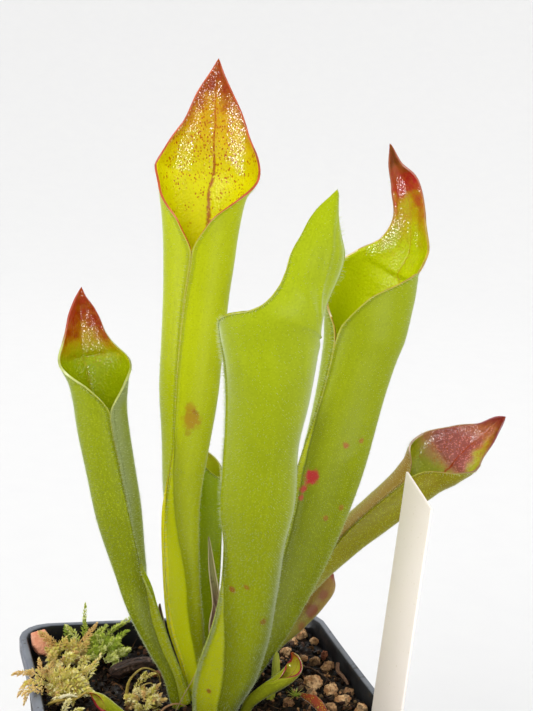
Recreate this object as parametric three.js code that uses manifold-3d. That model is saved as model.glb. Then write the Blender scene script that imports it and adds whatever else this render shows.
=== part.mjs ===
// Rocket sun pitcher in a square nursery pot.
// Millimetres, +Z up. The origin is the middle of the pot's underside, and the pot's sides run along X and Y.

import * as THREE from 'three';
import { mergeVertices } from 'three/addons/utils/BufferGeometryUtils.js';
import Module from 'manifold-3d';

const wasm = await Module();
wasm.setup();

// Driving dimensions
const GAP = 0.3;
const POT = {
  width: 76.5, height: 76, base: 57, lipDepth: 4.2, lipStep: 1.4, wall: 1.1, floor: 1.8,
  rimCorner: 7.5, baseCorner: 8, bow: 0.4, holeRadius: 3, holeOffset: 18,
};
const SOIL = { level: 70.2, rise: 1.9, dip: 1.6, dipRadius: 11, bump: 0.45, cells: 22 };
const CROWN = { x: 3, y: 3, top: 69, depth: 13, stumps: [
  { x: 3, y: 2.5, top: 10, foot: 6.5 },
  { x: 11.5, y: 8.5, top: 6.6, foot: 4 },
  { x: 2.8, y: 10.5, top: 5, foot: 3.2 },
] };
const LEAF_WALL = 0.8;
const LABEL = { width: 13, thickness: 0.6, above: 52.5, buried: 26, shoulder: 6, taper: 18 };

// Colours
const COLOUR = {
  tall: 0xb4bf12, left: 0x93a626, front: 0xa3b312, right: 0x93a51a, low: 0x8a8a34, back: 0x86a02a,
  juvenile: 0x9aa52a, oliveRed: 0x857a3a, bud: 0x8fb22e, red: 0xb4552c, dry: 0x5d4433, rhizome: 0x4a3a28,
  pot: 0x3d4145, soil: 0x2a221c, stone: 0xcaa276, redStone: 0xb07050, olive: 0x9c9560,
  mossTan: 0xc4a266, mossGreen: 0x76a238, bark: 0x4a3a3c, chip: 0xb9705a, twig: 0x7a5a44, label: 0xefe8d2,
};

// Repeatable random numbers from 0 to 1.
function seeded(seed) {
  let state = seed;
  return () => {
    state = (state * 16807) % 2147483647;
    return state / 2147483647;
  };
}

const group = new THREE.Group();

function addPart(name, geometry, colour, roughness = 0.6) {
  const material = new THREE.MeshStandardMaterial({ color: colour, roughness, metalness: 0 });
  const mesh = new THREE.Mesh(geometry, material);
  mesh.name = name;
  group.add(mesh);
  return mesh;
}

// Joining and cutting

function toSolid(geometry) {
  const bare = geometry.clone();
  bare.deleteAttribute('normal');
  bare.deleteAttribute('uv');
  const merged = mergeVertices(bare, 1e-4);
  return new wasm.Manifold(new wasm.Mesh({
    numProp: 3,
    vertProperties: new Float32Array(merged.attributes.position.array),
    triVerts: new Uint32Array(merged.index.array),
  }));
}

function toGeometry(solid) {
  const { vertProperties, triVerts } = solid.getMesh();
  const geometry = new THREE.BufferGeometry();
  geometry.setAttribute('position', new THREE.BufferAttribute(vertProperties, 3));
  geometry.setIndex(new THREE.BufferAttribute(triVerts, 1));
  geometry.computeVertexNormals();
  return geometry;
}

// The largest separate body of a solid, without the scraps that a cut leaves.
function mainBody(solid) {
  return solid.decompose().sort((a, b) => b.volume() - a.volume())[0];
}

function placed(geometry, x, y, z, turn = new THREE.Euler()) {
  const matrix = new THREE.Matrix4().makeRotationFromEuler(turn).setPosition(x, y, z);
  return geometry.clone().applyMatrix4(matrix);
}

// Lofts

// A closed solid through a stack of rings that all have the same number of points.
function loft(rings) {
  const count = rings[0].length;
  const positions = rings.flat().flatMap((p) => [p.x, p.y, p.z]);
  const index = [];
  for (let r = 0; r < rings.length - 1; r += 1) {
    for (let i = 0; i < count; i += 1) {
      const next = (i + 1) % count;
      const [a, b, c, d] = [r * count + i, r * count + next, (r + 1) * count + next, (r + 1) * count + i];
      index.push(a, b, c, a, c, d);
    }
  }
  const addCap = (ring, offset, outward) => {
    const middle = ring.reduce((sum, p) => sum.add(p), new THREE.Vector3()).divideScalar(count);
    const centre = positions.length / 3;
    positions.push(middle.x, middle.y, middle.z);
    for (let i = 0; i < count; i += 1) {
      const next = (i + 1) % count;
      if (outward) index.push(centre, offset + i, offset + next);
      else index.push(centre, offset + next, offset + i);
    }
  };
  addCap(rings[0], 0, false);
  addCap(rings[rings.length - 1], (rings.length - 1) * count, true);
  const geometry = new THREE.BufferGeometry();
  geometry.setAttribute('position', new THREE.Float32BufferAttribute(positions, 3));
  geometry.setIndex(index);
  return geometry;
}

// A level square ring with rounded corners, its sides bowed in a little towards their middles.
function squareRing(half, radius, z, bow = 0, cornerSteps = 3) {
  const straight = half - radius;
  const side = [];
  for (let i = 0; i <= cornerSteps; i += 1) {
    const angle = (i / cornerSteps) * (Math.PI / 2);
    side.push(new THREE.Vector2(straight + radius * Math.cos(angle), straight + radius * Math.sin(angle)));
  }
  for (const t of [0.5, 0, -0.5]) side.push(new THREE.Vector2(straight * t, half - bow * (1 - t * t)));
  const centre = new THREE.Vector2();
  return [0, 1, 2, 3].flatMap((turn) => side.map((point) => {
    const turned = point.clone().rotateAround(centre, (turn * Math.PI) / 2);
    return new THREE.Vector3(turned.x, turned.y, z);
  }));
}

// A rod along a smooth curve, with a radius for each place on it and tapered ends.
function rod(points, radiusAt, sides = 4, steps = 4, flatten = 1) {
  const curve = new THREE.CatmullRomCurve3(points);
  const frames = curve.computeFrenetFrames(steps, false);
  const rings = [];
  for (let i = 0; i <= steps; i += 1) {
    const middle = curve.getPoint(i / steps);
    const radius = radiusAt(i / steps);
    const ring = [];
    for (let k = 0; k < sides; k += 1) {
      const angle = (k / sides) * Math.PI * 2;
      ring.push(middle.clone()
        .addScaledVector(frames.normals[i], radius * Math.cos(angle))
        .addScaledVector(frames.binormals[i], radius * flatten * Math.sin(angle)));
    }
    rings.push(ring);
  }
  return loft(rings);
}

// Pitcher leaves

const STATION = { x: 0, y: 1, z: 2, halfWidth: 3, halfDepth: 4, wrap: 5, wing: 6, turn: 7, lean: 8 };
const FRONT = new THREE.Vector3(0, -1, 0);

// Slopes of a smooth curve through uneven points. A limited curve never swings past its points.
function slopes(places, values, limited) {
  const steps = places.slice(1).map((t, i) => t - places[i]);
  const rates = steps.map((h, i) => (values[i + 1] - values[i]) / h);
  return values.map((_, i) => {
    if (i === 0) return rates[0];
    if (i === values.length - 1) return rates[i - 1];
    const [before, after] = [rates[i - 1], rates[i]];
    if (limited) return before * after > 0 ? (2 * before * after) / (before + after) : 0;
    return (before * steps[i] + after * steps[i - 1]) / (steps[i] + steps[i - 1]);
  });
}

function smoothCurve(places, values, limited) {
  const rate = slopes(places, values, limited);
  return (t) => {
    let i = places.findIndex((place, k) => k > 0 && t <= place) - 1;
    if (i < 0) i = t <= places[0] ? 0 : places.length - 2;
    const h = places[i + 1] - places[i];
    const s = (t - places[i]) / h;
    return (2 * s ** 3 - 3 * s ** 2 + 1) * values[i] + (s ** 3 - 2 * s ** 2 + s) * h * rate[i]
      + (-2 * s ** 3 + 3 * s ** 2) * values[i + 1] + (s ** 3 - s ** 2) * h * rate[i + 1];
  };
}

// A leaf rolled into a tube, given by hand as stations from its foot to its tip. Each station holds the axis
// point, the half width across and half depth from back to front, how far the blade wraps round from its back
// (180 degrees is a closed tube), how thin it is drawn out into a wing at the front, the direction that its front
// faces (0 is -Y, 90 is +X), and how much the section leans up to one side. The tube is hollow from one station
// on, its mouth opens where the wrap falls below 180, and above the mouth the blade narrows to a pointed hood.
function pitcherLeaf({ stations, hollowFrom, columns, rowStep, wall = LEAF_WALL }) {
  const axisPoints = stations.map(([x, y, z]) => new THREE.Vector3(x, y, z));
  const places = [0];
  for (let i = 1; i < axisPoints.length; i += 1) {
    places.push(places[i - 1] + axisPoints[i].distanceTo(axisPoints[i - 1]));
  }
  const total = places[places.length - 1];
  const column = (key) => stations.map((station) => station[STATION[key]] ?? 0);
  const axis = ['x', 'y', 'z'].map((key) => smoothCurve(places, column(key), false));
  const shape = {};
  for (const key of ['halfWidth', 'halfDepth', 'wrap', 'wing', 'turn', 'lean']) {
    shape[key] = smoothCurve(places, column(key), true);
  }
  const axisAt = (t) => new THREE.Vector3(...axis.map((curve) => curve(t)));

  const rows = [0];
  places.slice(1).forEach((place, i) => {
    const bend = Math.abs(stations[i + 1][STATION.wrap] - stations[i][STATION.wrap]) / 24;
    const count = Math.max(1, Math.round((place - places[i]) / rowStep), Math.round(bend));
    for (let k = 1; k <= count; k += 1) rows.push(places[i] + ((place - places[i]) * k) / count);
  });
  const lastRow = rows.length - 1;
  const closedStation = stations.findLastIndex((station) => station[STATION.wrap] >= 180);
  const mouthRow = rows.findIndex((t) => t >= places[closedStation] - 1e-6);
  const hollowRow = rows.findIndex((t) => t >= places[hollowFrom] - 1e-6);

  const sectionPoint = (t, u, inset) => {
    const nudge = total * 1e-3;
    const tangent = axisAt(Math.min(t + nudge, total)).sub(axisAt(Math.max(t - nudge, 0))).normalize();
    const ahead = FRONT.clone().addScaledVector(tangent, -FRONT.dot(tangent)).normalize();
    const aside = tangent.clone().cross(ahead);
    const turn = THREE.MathUtils.degToRad(shape.turn(t));
    const front = ahead.multiplyScalar(Math.cos(turn)).addScaledVector(aside, Math.sin(turn));
    const side = tangent.clone().cross(front);
    const angle = THREE.MathUtils.degToRad(shape.wrap(t)) * u;
    const wing = shape.wing(t);
    const across = (shape.halfWidth(t) - inset) * Math.sin(angle) * Math.abs(Math.cos(angle / 2)) ** wing;
    let depth = -(shape.halfDepth(t) - inset) * Math.cos(angle);
    if (inset > 0 && depth > 0) depth *= 1 - 0.09 * wing;
    return axisAt(t).addScaledVector(front, depth).addScaledVector(side, across)
      .addScaledVector(tangent, shape.lean(t) * across);
  };

  const positions = [];
  const addVertex = (point) => positions.push(point.x, point.y, point.z) / 3 - 1;
  const grid = (firstRow, inset) => {
    const vertices = [];
    for (let r = firstRow; r < lastRow; r += 1) {
      const line = [];
      for (let c = 0; c <= columns; c += 1) {
        if (c === columns && r <= mouthRow) line.push(line[0]);
        else line.push(addVertex(sectionPoint(rows[r], -1 + (2 * c) / columns, inset)));
      }
      vertices[r] = line;
    }
    return vertices;
  };
  const outer = grid(0, 0);
  const inner = grid(hollowRow, wall);
  const tip = addVertex(axisAt(total));
  const index = [];
  const skin = (vertices, firstRow, flip) => {
    for (let r = firstRow; r < lastRow - 1; r += 1) {
      for (let c = 0; c < columns; c += 1) {
        const [a, b] = [vertices[r][c], vertices[r][c + 1]];
        const [d, e] = [vertices[r + 1][c], vertices[r + 1][c + 1]];
        if (flip) index.push(a, d, e, a, e, b);
        else index.push(a, b, e, a, e, d);
      }
    }
    for (let c = 0; c < columns; c += 1) {
      const [a, b] = [vertices[lastRow - 1][c], vertices[lastRow - 1][c + 1]];
      if (flip) index.push(a, tip, b);
      else index.push(a, b, tip);
    }
  };
  skin(outer, 0, false);
  skin(inner, hollowRow, true);
  for (let r = mouthRow; r < lastRow - 1; r += 1) {
    index.push(outer[r][0], outer[r + 1][0], inner[r + 1][0], outer[r][0], inner[r + 1][0], inner[r][0]);
    const [o, oUp] = [outer[r][columns], outer[r + 1][columns]];
    const [n, nUp] = [inner[r][columns], inner[r + 1][columns]];
    index.push(oUp, o, n, oUp, n, nUp);
  }
  index.push(outer[lastRow - 1][0], tip, inner[lastRow - 1][0]);
  index.push(tip, outer[lastRow - 1][columns], inner[lastRow - 1][columns]);
  const foot = addVertex(axisAt(0));
  const floor = addVertex(axisAt(rows[hollowRow]));
  for (let c = 0; c < columns; c += 1) {
    index.push(foot, outer[0][c + 1], outer[0][c]);
    index.push(floor, inner[hollowRow][c], inner[hollowRow][c + 1]);
  }
  const geometry = new THREE.BufferGeometry();
  geometry.setAttribute('position', new THREE.Float32BufferAttribute(positions, 3));
  geometry.setIndex(index);
  return facingOut(geometry);
}

// Turns a closed mesh the right way round by the sign of its volume.
function facingOut(geometry) {
  const p = geometry.attributes.position;
  const corners = [0, 1, 2].map(() => new THREE.Vector3());
  const index = geometry.index.array;
  let volume = 0;
  for (let i = 0; i < index.length; i += 3) {
    corners.forEach((corner, k) => corner.fromBufferAttribute(p, index[i + k]));
    volume += corners[0].dot(corners[1].clone().cross(corners[2]));
  }
  if (volume < 0) {
    for (let i = 0; i < index.length; i += 3) [index[i + 1], index[i + 2]] = [index[i + 2], index[i + 1]];
  }
  return geometry;
}

// Each row: x, y, z, half width, half depth, wrap, wing, turn, lean
const LEAVES = {
  pitcher_tall: { colour: COLOUR.tall, hollowFrom: 2, columns: 16, rowStep: 9, stations: [
    [-0.2, 5.2, 69.5, 2.0, 2.2, 180, 0.6, -70],
    [-1.2, 5.5, 76.5, 2.2, 2.8, 180, 1.4, -62],
    [-3.4, 8.0, 89, 3.1, 4.5, 180, 2.0, -66],
    [-4.7, 10, 103.5, 4.1, 4.6, 180, 1.8, -64],
    [-5.3, 11.5, 117, 5.7, 5.0, 180, 1.0, -46],
    [-4.6, 12.5, 128, 6.5, 5.5, 180, 0.6, -36],
    [-3.9, 13.5, 142, 7.6, 6.4, 180, 0.3, -36],
    [-3.2, 14, 160, 7.6, 6.9, 180, 0.1, -32],
    [-2.7, 14, 171, 8.0, 7.5, 180, 0, -26],
    [-2.7, 14, 177.5, 8.6, 8.2, 158, 0, -25],
    [-2.5, 14.5, 184, 9.8, 9.0, 108, 0, -22],
    [-1.8, 15, 189, 11.7, 9.6, 85, 0, -24],
    [-1.1, 16, 194, 10.8, 8.6, 69, 0, -22],
    [-0.3, 17.5, 199, 8.8, 7.2, 58, 0, -18],
    [0.3, 20, 206, 5.7, 4.8, 48, 0, -17],
    [1.4, 22.5, 213, 0.2, 0.2, 36, 0, -17],
  ] },
  pitcher_left: { colour: COLOUR.left, hollowFrom: 2, columns: 16, rowStep: 8, stations: [
    [-4.5, 2.5, 69.5, 1.8, 2.0, 180, 0.6, 80],
    [-6.7, 3.0, 77, 2.2, 1.9, 180, 1.2, 86],
    [-9.7, 4.0, 83.5, 3.0, 2.5, 180, 1.8, 82],
    [-13.7, 5.0, 92.5, 4.0, 3.2, 180, 1.8, 66],
    [-16.1, 6.0, 101.5, 4.8, 4.0, 180, 1.0, 24],
    [-19.4, 7.0, 115, 5.9, 5.1, 180, 0.4, 16],
    [-21.5, 8.0, 124, 5.6, 5.3, 180, 0.1, 16],
    [-23.8, 9.0, 136, 5.7, 5.8, 180, 0, 12],
    [-24.5, 9.5, 142.5, 6.4, 6.4, 138, 0, 12],
    [-25.3, 10, 148.3, 8.1, 7.0, 70, 0, 18],
    [-26.3, 11.5, 153.3, 6.6, 5.4, 50, 0, 20],
    [-27.5, 13, 157.5, 4.6, 3.7, 44, 0, 10],
    [-28.1, 14, 160.4, 2.4, 2.0, 38, 0, 4],
    [-28.2, 15, 162.6, 0.2, 0.2, 30, 0, 0],
  ] },
  pitcher_front: { colour: COLOUR.front, hollowFrom: 2, columns: 16, rowStep: 9, stations: [
    [1.5, -4.5, 69.5, 3.4, 4.2, 180, 0.8, -99],
    [1.3, -7.0, 75.5, 4.2, 5.3, 180, 1.6, -99],
    [2.8, -10, 84, 4.8, 6.4, 180, 2.2, -100],
    [4.0, -13, 92.5, 5.4, 6.2, 180, 2.2, -101],
    [4.2, -17, 103, 5.5, 5.8, 180, 1.8, -101],
    [3.5, -22, 115, 5.9, 6.0, 180, 1.2, -101],
    [2.3, -27, 127, 6.9, 7.2, 180, 0.7, -100],
    [0.9, -32, 139, 7.3, 7.2, 180, 0.4, -100, 0.1],
    [0.3, -37, 150, 7.8, 7.5, 180, 0.2, -101, 0.3],
    [-0.7, -40, 158, 8.2, 8.1, 180, 0, -105, 0.5],
    [-1.6, -41, 161.1, 8.9, 8.2, 178, 0, -110, 0.6],
    [-2.1, -42, 163.9, 10.1, 9.8, 154, 0, -117, 0.65],
    [-1.9, -42.5, 165.2, 10.2, 9.7, 86, 0, -118, 0.6],
    [0.1, -43.6, 170.4, 9.6, 8.9, 72, 0, -133, 0.42],
    [2.8, -44.5, 175.6, 8.3, 6.1, 64, 0, -147, 0.21],
    [4.4, -45, 180, 7.2, 5.0, 56, 0, -156, 0.1],
    [5.3, -45.5, 183.6, 4.6, 3.6, 61, 0, -157, 0.1],
    [6.6, -46, 186.9, 2.3, 2.1, 68, 0, -156, 0.1],
    [8.0, -46.5, 189.7, 0.2, 0.2, 69, 0, -154, 0.1],
  ] },
  pitcher_right: { colour: COLOUR.right, hollowFrom: 2, columns: 16, rowStep: 9, stations: [
    [6.3, 1.5, 69.5, 2.5, 2.7, 180, 0.8, -68],
    [10.1, 2.5, 78, 3.7, 4.1, 180, 1.6, -70],
    [15.6, 3.5, 88, 4.7, 5.7, 180, 1.8, -68],
    [20.7, 5.0, 99.7, 5.8, 6.8, 180, 1.4, -71],
    [24.9, 6.0, 112, 7.0, 7.7, 180, 0.9, -74],
    [28.2, 7.0, 124, 7.9, 8.2, 180, 0.6, -72],
    [31.6, 8.0, 137.7, 8.2, 8.1, 180, 0.3, -65],
    [33.8, 8.0, 149.4, 8.8, 8.6, 180, 0.1, -61],
    [34.9, 8.0, 155.4, 9.6, 9.3, 174, 0, -62],
    [35.6, 8.0, 163, 9.8, 10.4, 139, 0, -59],
    [38.1, 8.5, 170.8, 8.5, 10.4, 83, 0, -52],
    [41.9, 10, 176, 7.4, 8.6, 60, 0, -50],
    [43.9, 11.5, 181.4, 5.1, 5.8, 48, 0, -36],
    [43.6, 12.5, 187, 4.6, 5.0, 46, 0, -22],
    [41.3, 13, 191.2, 2.4, 3.1, 42, 0, -20],
    [39.0, 12, 196.7, 0.2, 0.2, 34, 0, -30],
  ] },
  pitcher_low_right: { colour: COLOUR.low, hollowFrom: 2, columns: 14, rowStep: 8, stations: [
    [11.2, 8.4, 69.5, 1.8, 1.9, 180, 0.4, -20],
    [17.7, 9.5, 82.3, 2.2, 2.8, 180, 0.8, -20],
    [28.4, 14, 94.5, 3.7, 4.3, 180, 1.0, -24],
    [36.9, 17, 102.4, 5.1, 4.9, 180, 0.8, -38],
    [44.8, 18, 108.5, 5.4, 4.9, 180, 0.5, -44],
    [52.0, 19, 113.7, 5.5, 5.1, 180, 0.2, -44],
    [56.0, 19.5, 116.6, 5.5, 5.5, 162, 0, -52],
    [59.9, 20, 119.8, 6.1, 6.0, 116, 0, -60],
    [63.7, 20.6, 122.6, 7.4, 6.1, 88, 0, -60],
    [68.4, 21.5, 124.7, 6.7, 4.9, 70, 0, -50],
    [74.1, 22.5, 127, 3.8, 3.2, 58, 0, -28],
    [77.7, 23, 129.8, 1.9, 1.6, 51, 0, -18],
    [79.2, 23, 131, 0.2, 0.2, 50, 0, -18],
  ] },
  pitcher_back: { colour: COLOUR.back, hollowFrom: 2, columns: 12, rowStep: 9, stations: [
    [2.8, 11, 69.5, 1.6, 1.7, 180, 0.5, 60],
    [2.8, 14, 77.5, 2.1, 2.3, 180, 1.2, 60],
    [3.4, 18, 88, 2.8, 3.3, 180, 1.2, 60],
    [3.5, 20, 100, 3.3, 3.8, 180, 0.6, 60],
    [3.0, 20.5, 111, 3.7, 4.0, 180, 0.2, 60],
    [2.5, 20.5, 117, 4.2, 4.2, 172, 0, 60],
    [2.1, 20.5, 120.3, 4.4, 4.4, 124, 0, 60],
    [1.5, 21, 123.5, 3.9, 3.7, 88, 0, 60],
    [0.9, 22, 126.6, 2.3, 2.3, 66, 0, 60],
    [0.4, 22.5, 130, 0.2, 0.2, 50, 0, 60],
  ] },
  juvenile_back: { colour: COLOUR.oliveRed, hollowFrom: 2, columns: 10, rowStep: 6, stations: [
    [14.0, 11.0, 69.5, 1.2, 1.2, 180, 0.4, 150],
    [16.0, 12.5, 73.5, 1.6, 1.6, 180, 0.4, 150],
    [21.0, 16.0, 77.5, 2.2, 2.2, 180, 0.4, 150],
    [27.3, 20, 81, 2.7, 2.7, 180, 0.2, 150],
    [31.5, 22, 85, 3.2, 3.2, 180, 0, 150],
    [33.7, 23, 87.5, 3.4, 3.2, 125, 0, 150],
    [35.7, 24, 89.6, 2.5, 2.5, 80, 0, 150],
    [37.3, 24.5, 91.2, 0.2, 0.2, 60, 0, 150],
  ] },
  juvenile_front: { colour: COLOUR.juvenile, hollowFrom: 2, columns: 10, rowStep: 4, stations: [
    [8.0, -4.8, 69.5, 1.1, 1.1, 180, 0.4, -40],
    [9.1, -6.5, 73.9, 1.4, 1.5, 180, 0.6, -40],
    [12.5, -8.5, 77.7, 1.6, 1.6, 180, 0.4, -40],
    [14.8, -10, 80.5, 1.8, 1.8, 178, 0, -40],
    [16.0, -11, 82.4, 2.2, 1.9, 126, 0, -40],
    [16.9, -11.5, 84.4, 1.9, 1.8, 92, 0, -40],
    [17.1, -11.5, 86, 1.3, 1.4, 70, 0, -40],
    [16.5, -11.5, 87.3, 0.2, 0.2, 60, 0, -40],
  ] },
  juvenile_left: { colour: COLOUR.juvenile, foot: 68.6, hollowFrom: 1, columns: 8, rowStep: 4, stations: [
    [-16.5, -5.2, 68.6, 1.0, 1.0, 180, 0.2, -55],
    [-19.0, -5.0, 71.6, 1.1, 1.1, 180, 0.2, -55],
    [-21.5, -4.8, 73.6, 1.4, 1.3, 176, 0, -50],
    [-23.5, -4.7, 75.1, 1.7, 1.5, 120, 0, -45],
    [-25.0, -4.6, 76.3, 1.3, 1.2, 84, 0, -45],
    [-26.3, -4.6, 77.4, 0.2, 0.2, 60, 0, -45],
  ] },
};

// Narrow leaves that are solid at the foot and open all the way: the bud, the red leaf and the dry leaves.
const BLADES = {
  bud: { colour: COLOUR.bud, foot: 68.4, stations: [
    [15.2, -0.2, 68.2, 0.7, 0.7, 180, 0, 20],
    [16.3, 0.8, 73.0, 0.9, 0.9, 180, 0, 20],
    [17.1, 1.3, 76.0, 0.9, 0.9, 150, 0, 20],
    [17.3, 1.4, 79.0, 0.8, 0.8, 110, 0, 20],
    [17.4, 1.2, 82.0, 0.2, 0.2, 60, 0, 20],
  ] },
  red_leaf: { colour: COLOUR.red, foot: 69.4, stations: [
    [24.9, -13.6, 69.4, 0.7, 0.7, 180, 0, 175],
    [24.4, -12.0, 73.0, 1.0, 0.9, 180, 0, 175],
    [23.2, -8.4, 74.2, 1.7, 1.0, 80, 0, 178],
    [22.0, -5.4, 74.0, 1.2, 0.9, 70, 0, 180],
    [21.3, -3.6, 73.8, 0.2, 0.2, 60, 0, 180],
  ] },
  dry_leaf_tall: { colour: COLOUR.dry, stations: [
    [2.9, 7.6, 69.5, 1.1, 1.0, 180, 0, 10],
    [3.4, 6.8, 80, 1.3, 1.1, 180, 0, -10],
    [3.6, 6.5, 92, 1.5, 1.1, 110, 0, -20],
    [2.3, 7.2, 99.5, 1.3, 1.0, 90, 0, -30],
    [1.2, 8.0, 107.6, 0.2, 0.2, 60, 0, -30],
  ] },
  dry_leaf_short: { colour: COLOUR.dry, stations: [
    [2.4, 1.8, 69.5, 1.0, 0.9, 180, 0, 0],
    [2.8, 3.0, 78, 1.2, 1.1, 180, 0, 10],
    [2.8, 3.7, 87, 1.5, 1.1, 90, 0, 20],
    [2.4, 4.2, 93, 0.2, 0.2, 60, 0, 20],
  ] },
  dry_leaf_left: { colour: COLOUR.dry, stations: [
    [-3.6, 7.6, 69.5, 0.9, 0.9, 180, 0, 0],
    [-6.2, 9.2, 78, 1.0, 1.0, 180, 0, 10],
    [-8.4, 10.0, 86, 1.1, 0.9, 90, 0, 20],
    [-8.9, 9.4, 91.5, 0.2, 0.2, 60, 0, 20],
  ] },
};

// Leaves that grow from the crown are cut level at the foot, where they stand on it.
function standing(leaf) {
  return toGeometry(toSolid(pitcherLeaf(leaf)).trimByPlane([0, 0, 1], leaf.foot ?? CROWN.top + GAP));
}

for (const [name, leaf] of Object.entries(LEAVES)) addPart(name, standing(leaf), leaf.colour, 0.5);

for (const [name, blade] of Object.entries(BLADES)) {
  addPart(name, standing({ ...blade, hollowFrom: 1, columns: 8, rowStep: 5, wall: 0.65 }), blade.colour);
}

// Pot

const half = POT.width / 2;
const baseHalf = POT.base / 2;
const lipFoot = POT.height - POT.lipDepth;
const wallTop = half - POT.lipStep;
const slope = (wallTop - baseHalf) / lipFoot;
const innerHalf = (z) => baseHalf + slope * z - POT.wall;
const bowAt = (z) => (POT.bow * z) / POT.height;
const innerCorner = (z) => THREE.MathUtils.lerp(POT.baseCorner, POT.rimCorner, z / POT.height) - 0.8;

// The space inside the pot from the floor up, drawn in from the walls by an inset.
function potInside(inset, bottom, top) {
  return loft([bottom, lipFoot, top].map((z) => squareRing(innerHalf(z) - inset, innerCorner(z), z, bowAt(z))));
}

function buildPot() {
  const rings = [
    squareRing(baseHalf, POT.baseCorner, 0),
    squareRing(wallTop, POT.rimCorner, lipFoot, bowAt(lipFoot)),
    squareRing(half - 0.2, POT.rimCorner, lipFoot + 0.1, bowAt(lipFoot)),
    squareRing(half, POT.rimCorner, POT.height - 0.7, POT.bow),
    squareRing(half - 0.5, POT.rimCorner, POT.height, POT.bow),
  ];
  let pot = toSolid(loft(rings));
  pot = pot.subtract(toSolid(potInside(0, POT.floor, POT.height + 1)));
  const drain = new THREE.CylinderGeometry(POT.holeRadius, POT.holeRadius, 10, 10).rotateX(Math.PI / 2);
  for (const [sx, sy] of [[1, 1], [1, -1], [-1, 1], [-1, -1]]) {
    pot = pot.subtract(toSolid(placed(drain, sx * POT.holeOffset, sy * POT.holeOffset, 0)));
  }
  return pot;
}

addPart('pot', toGeometry(buildPot()), COLOUR.pot, 0.45);

// Soil

function soilHeight(x, y) {
  const towardsRight = THREE.MathUtils.smoothstep(x, -10, 30);
  const fromCrown = Math.hypot(x - CROWN.x - 2, y - CROWN.y - 1) / SOIL.dipRadius;
  const bumps = Math.sin(0.52 * x + 1.3) * Math.sin(0.47 * y + 0.4) + 0.7 * Math.sin(1.1 * x + 0.8 * y);
  return SOIL.level + SOIL.rise * towardsRight - SOIL.dip * Math.exp(-(fromCrown ** 2)) + SOIL.bump * bumps;
}

// A block under the bumpy soil surface, lifted by a height.
function soilBlock(lift) {
  const size = POT.width + 4;
  const block = new THREE.BoxGeometry(size, size, 2, SOIL.cells, SOIL.cells, 1);
  const p = block.attributes.position;
  for (let i = 0; i < p.count; i += 1) {
    if (p.getZ(i) > 0) p.setZ(i, soilHeight(p.getX(i), p.getY(i)) + lift);
    else p.setZ(i, -5);
  }
  return toSolid(block);
}

// The crown and its short roots. The hole that they stand in is the same shape, grown by the gap.
function crownSolid(grow) {
  const { top, depth, stumps } = CROWN;
  let crown = null;
  for (const stump of stumps) {
    const height = depth + 2 * grow;
    const cone = new THREE.CylinderGeometry(stump.top + grow, stump.foot + grow, height, 12).rotateX(Math.PI / 2);
    const solid = toSolid(placed(cone, stump.x, stump.y, top - depth / 2));
    crown = crown ? crown.add(solid) : solid;
  }
  for (let i = 0; i < 5; i += 1) {
    const angle = i * 1.3;
    const path = [[3, -6], [4.5, -12], [7.5, -17], [9 + grow, -22 - grow]].map(([reach, drop]) => new THREE.Vector3(
      CROWN.x + reach * Math.cos(angle), CROWN.y + reach * Math.sin(angle), top + drop,
    ));
    const taper = (t) => THREE.MathUtils.lerp(1.4, 0.5, t) + grow;
    crown = crown.add(toSolid(facingOut(rod(path, taper, 5, 3))));
  }
  return crown;
}

addPart('rhizome', toGeometry(crownSolid(0)), COLOUR.rhizome, 0.9);

// Stones: place on the soil, half sizes, colour
const STONES = [
  [32.0, 31.6, 2.0, 1.9, 1.7, COLOUR.stone],
  [29.2, 28.4, 1.7, 1.5, 1.2, COLOUR.stone],
  [34.2, 26.2, 1.1, 1.1, 1.0, COLOUR.stone],
  [25.6, 21.8, 1.3, 1.2, 0.9, COLOUR.stone],
  [34.0, 17.2, 0.9, 1.0, 1.2, COLOUR.redStone],
  [28.7, 17.0, 1.1, 0.9, 0.8, COLOUR.stone],
  [30.9, 15.0, 1.6, 1.3, 1.2, COLOUR.olive],
  [32.9, 11.0, 1.8, 1.4, 1.2, COLOUR.olive],
  [26.2, 2.2, 2.1, 1.7, 2.1, COLOUR.stone],
  [24.9, -1.6, 1.5, 1.2, 1.1, COLOUR.stone],
  [31.6, 3.0, 0.8, 0.8, 0.8, COLOUR.olive],
  [29.9, -1.2, 1.7, 1.4, 1.5, COLOUR.stone],
  [31.0, -6.0, 1.8, 1.2, 1.2, COLOUR.stone],
  [27.4, -8.6, 1.5, 1.2, 1.1, COLOUR.olive],
  [33.4, -3.0, 1.2, 1.2, 1.3, COLOUR.olive],
  [33.6, -11.2, 1.4, 1.3, 1.2, COLOUR.stone],
  [18.6, -4.6, 1.2, 1.2, 1.2, COLOUR.olive],
];

function stoneGeometry(number, grow) {
  const [x, y, sx, sy, sz] = STONES[number];
  const random = seeded(97 + number * 31);
  const stone = mergeVertices(new THREE.IcosahedronGeometry(1, sx > 1.4 ? 1 : 0).deleteAttribute('normal')
    .deleteAttribute('uv'), 1e-3);
  const p = stone.attributes.position;
  for (let i = 0; i < p.count; i += 1) {
    const rough = 0.86 + 0.26 * random();
    p.setXYZ(i, p.getX(i) * (sx * rough + grow), p.getY(i) * (sy * rough + grow), p.getZ(i) * (sz * rough + grow));
  }
  const turn = new THREE.Euler(0, 0, random() * Math.PI);
  return placed(stone, x, y, soilHeight(x, y) + 0.35 * sz, turn);
}

STONES.forEach((stone, i) => addPart(`stone_${String(i + 1).padStart(2, '0')}`, stoneGeometry(i, 0), stone[5], 0.9));

// Plant label, a plain strip with one slanted end and a point in the soil

const LABEL_FOOT = new THREE.Vector3(33.5, -18.2, 75.8);
const LABEL_UP = new THREE.Vector3(0.13, 0.15, 0.98).normalize();
const LABEL_ACROSS = new THREE.Vector3(1.25, -12.8, 1.83).normalize();

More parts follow.
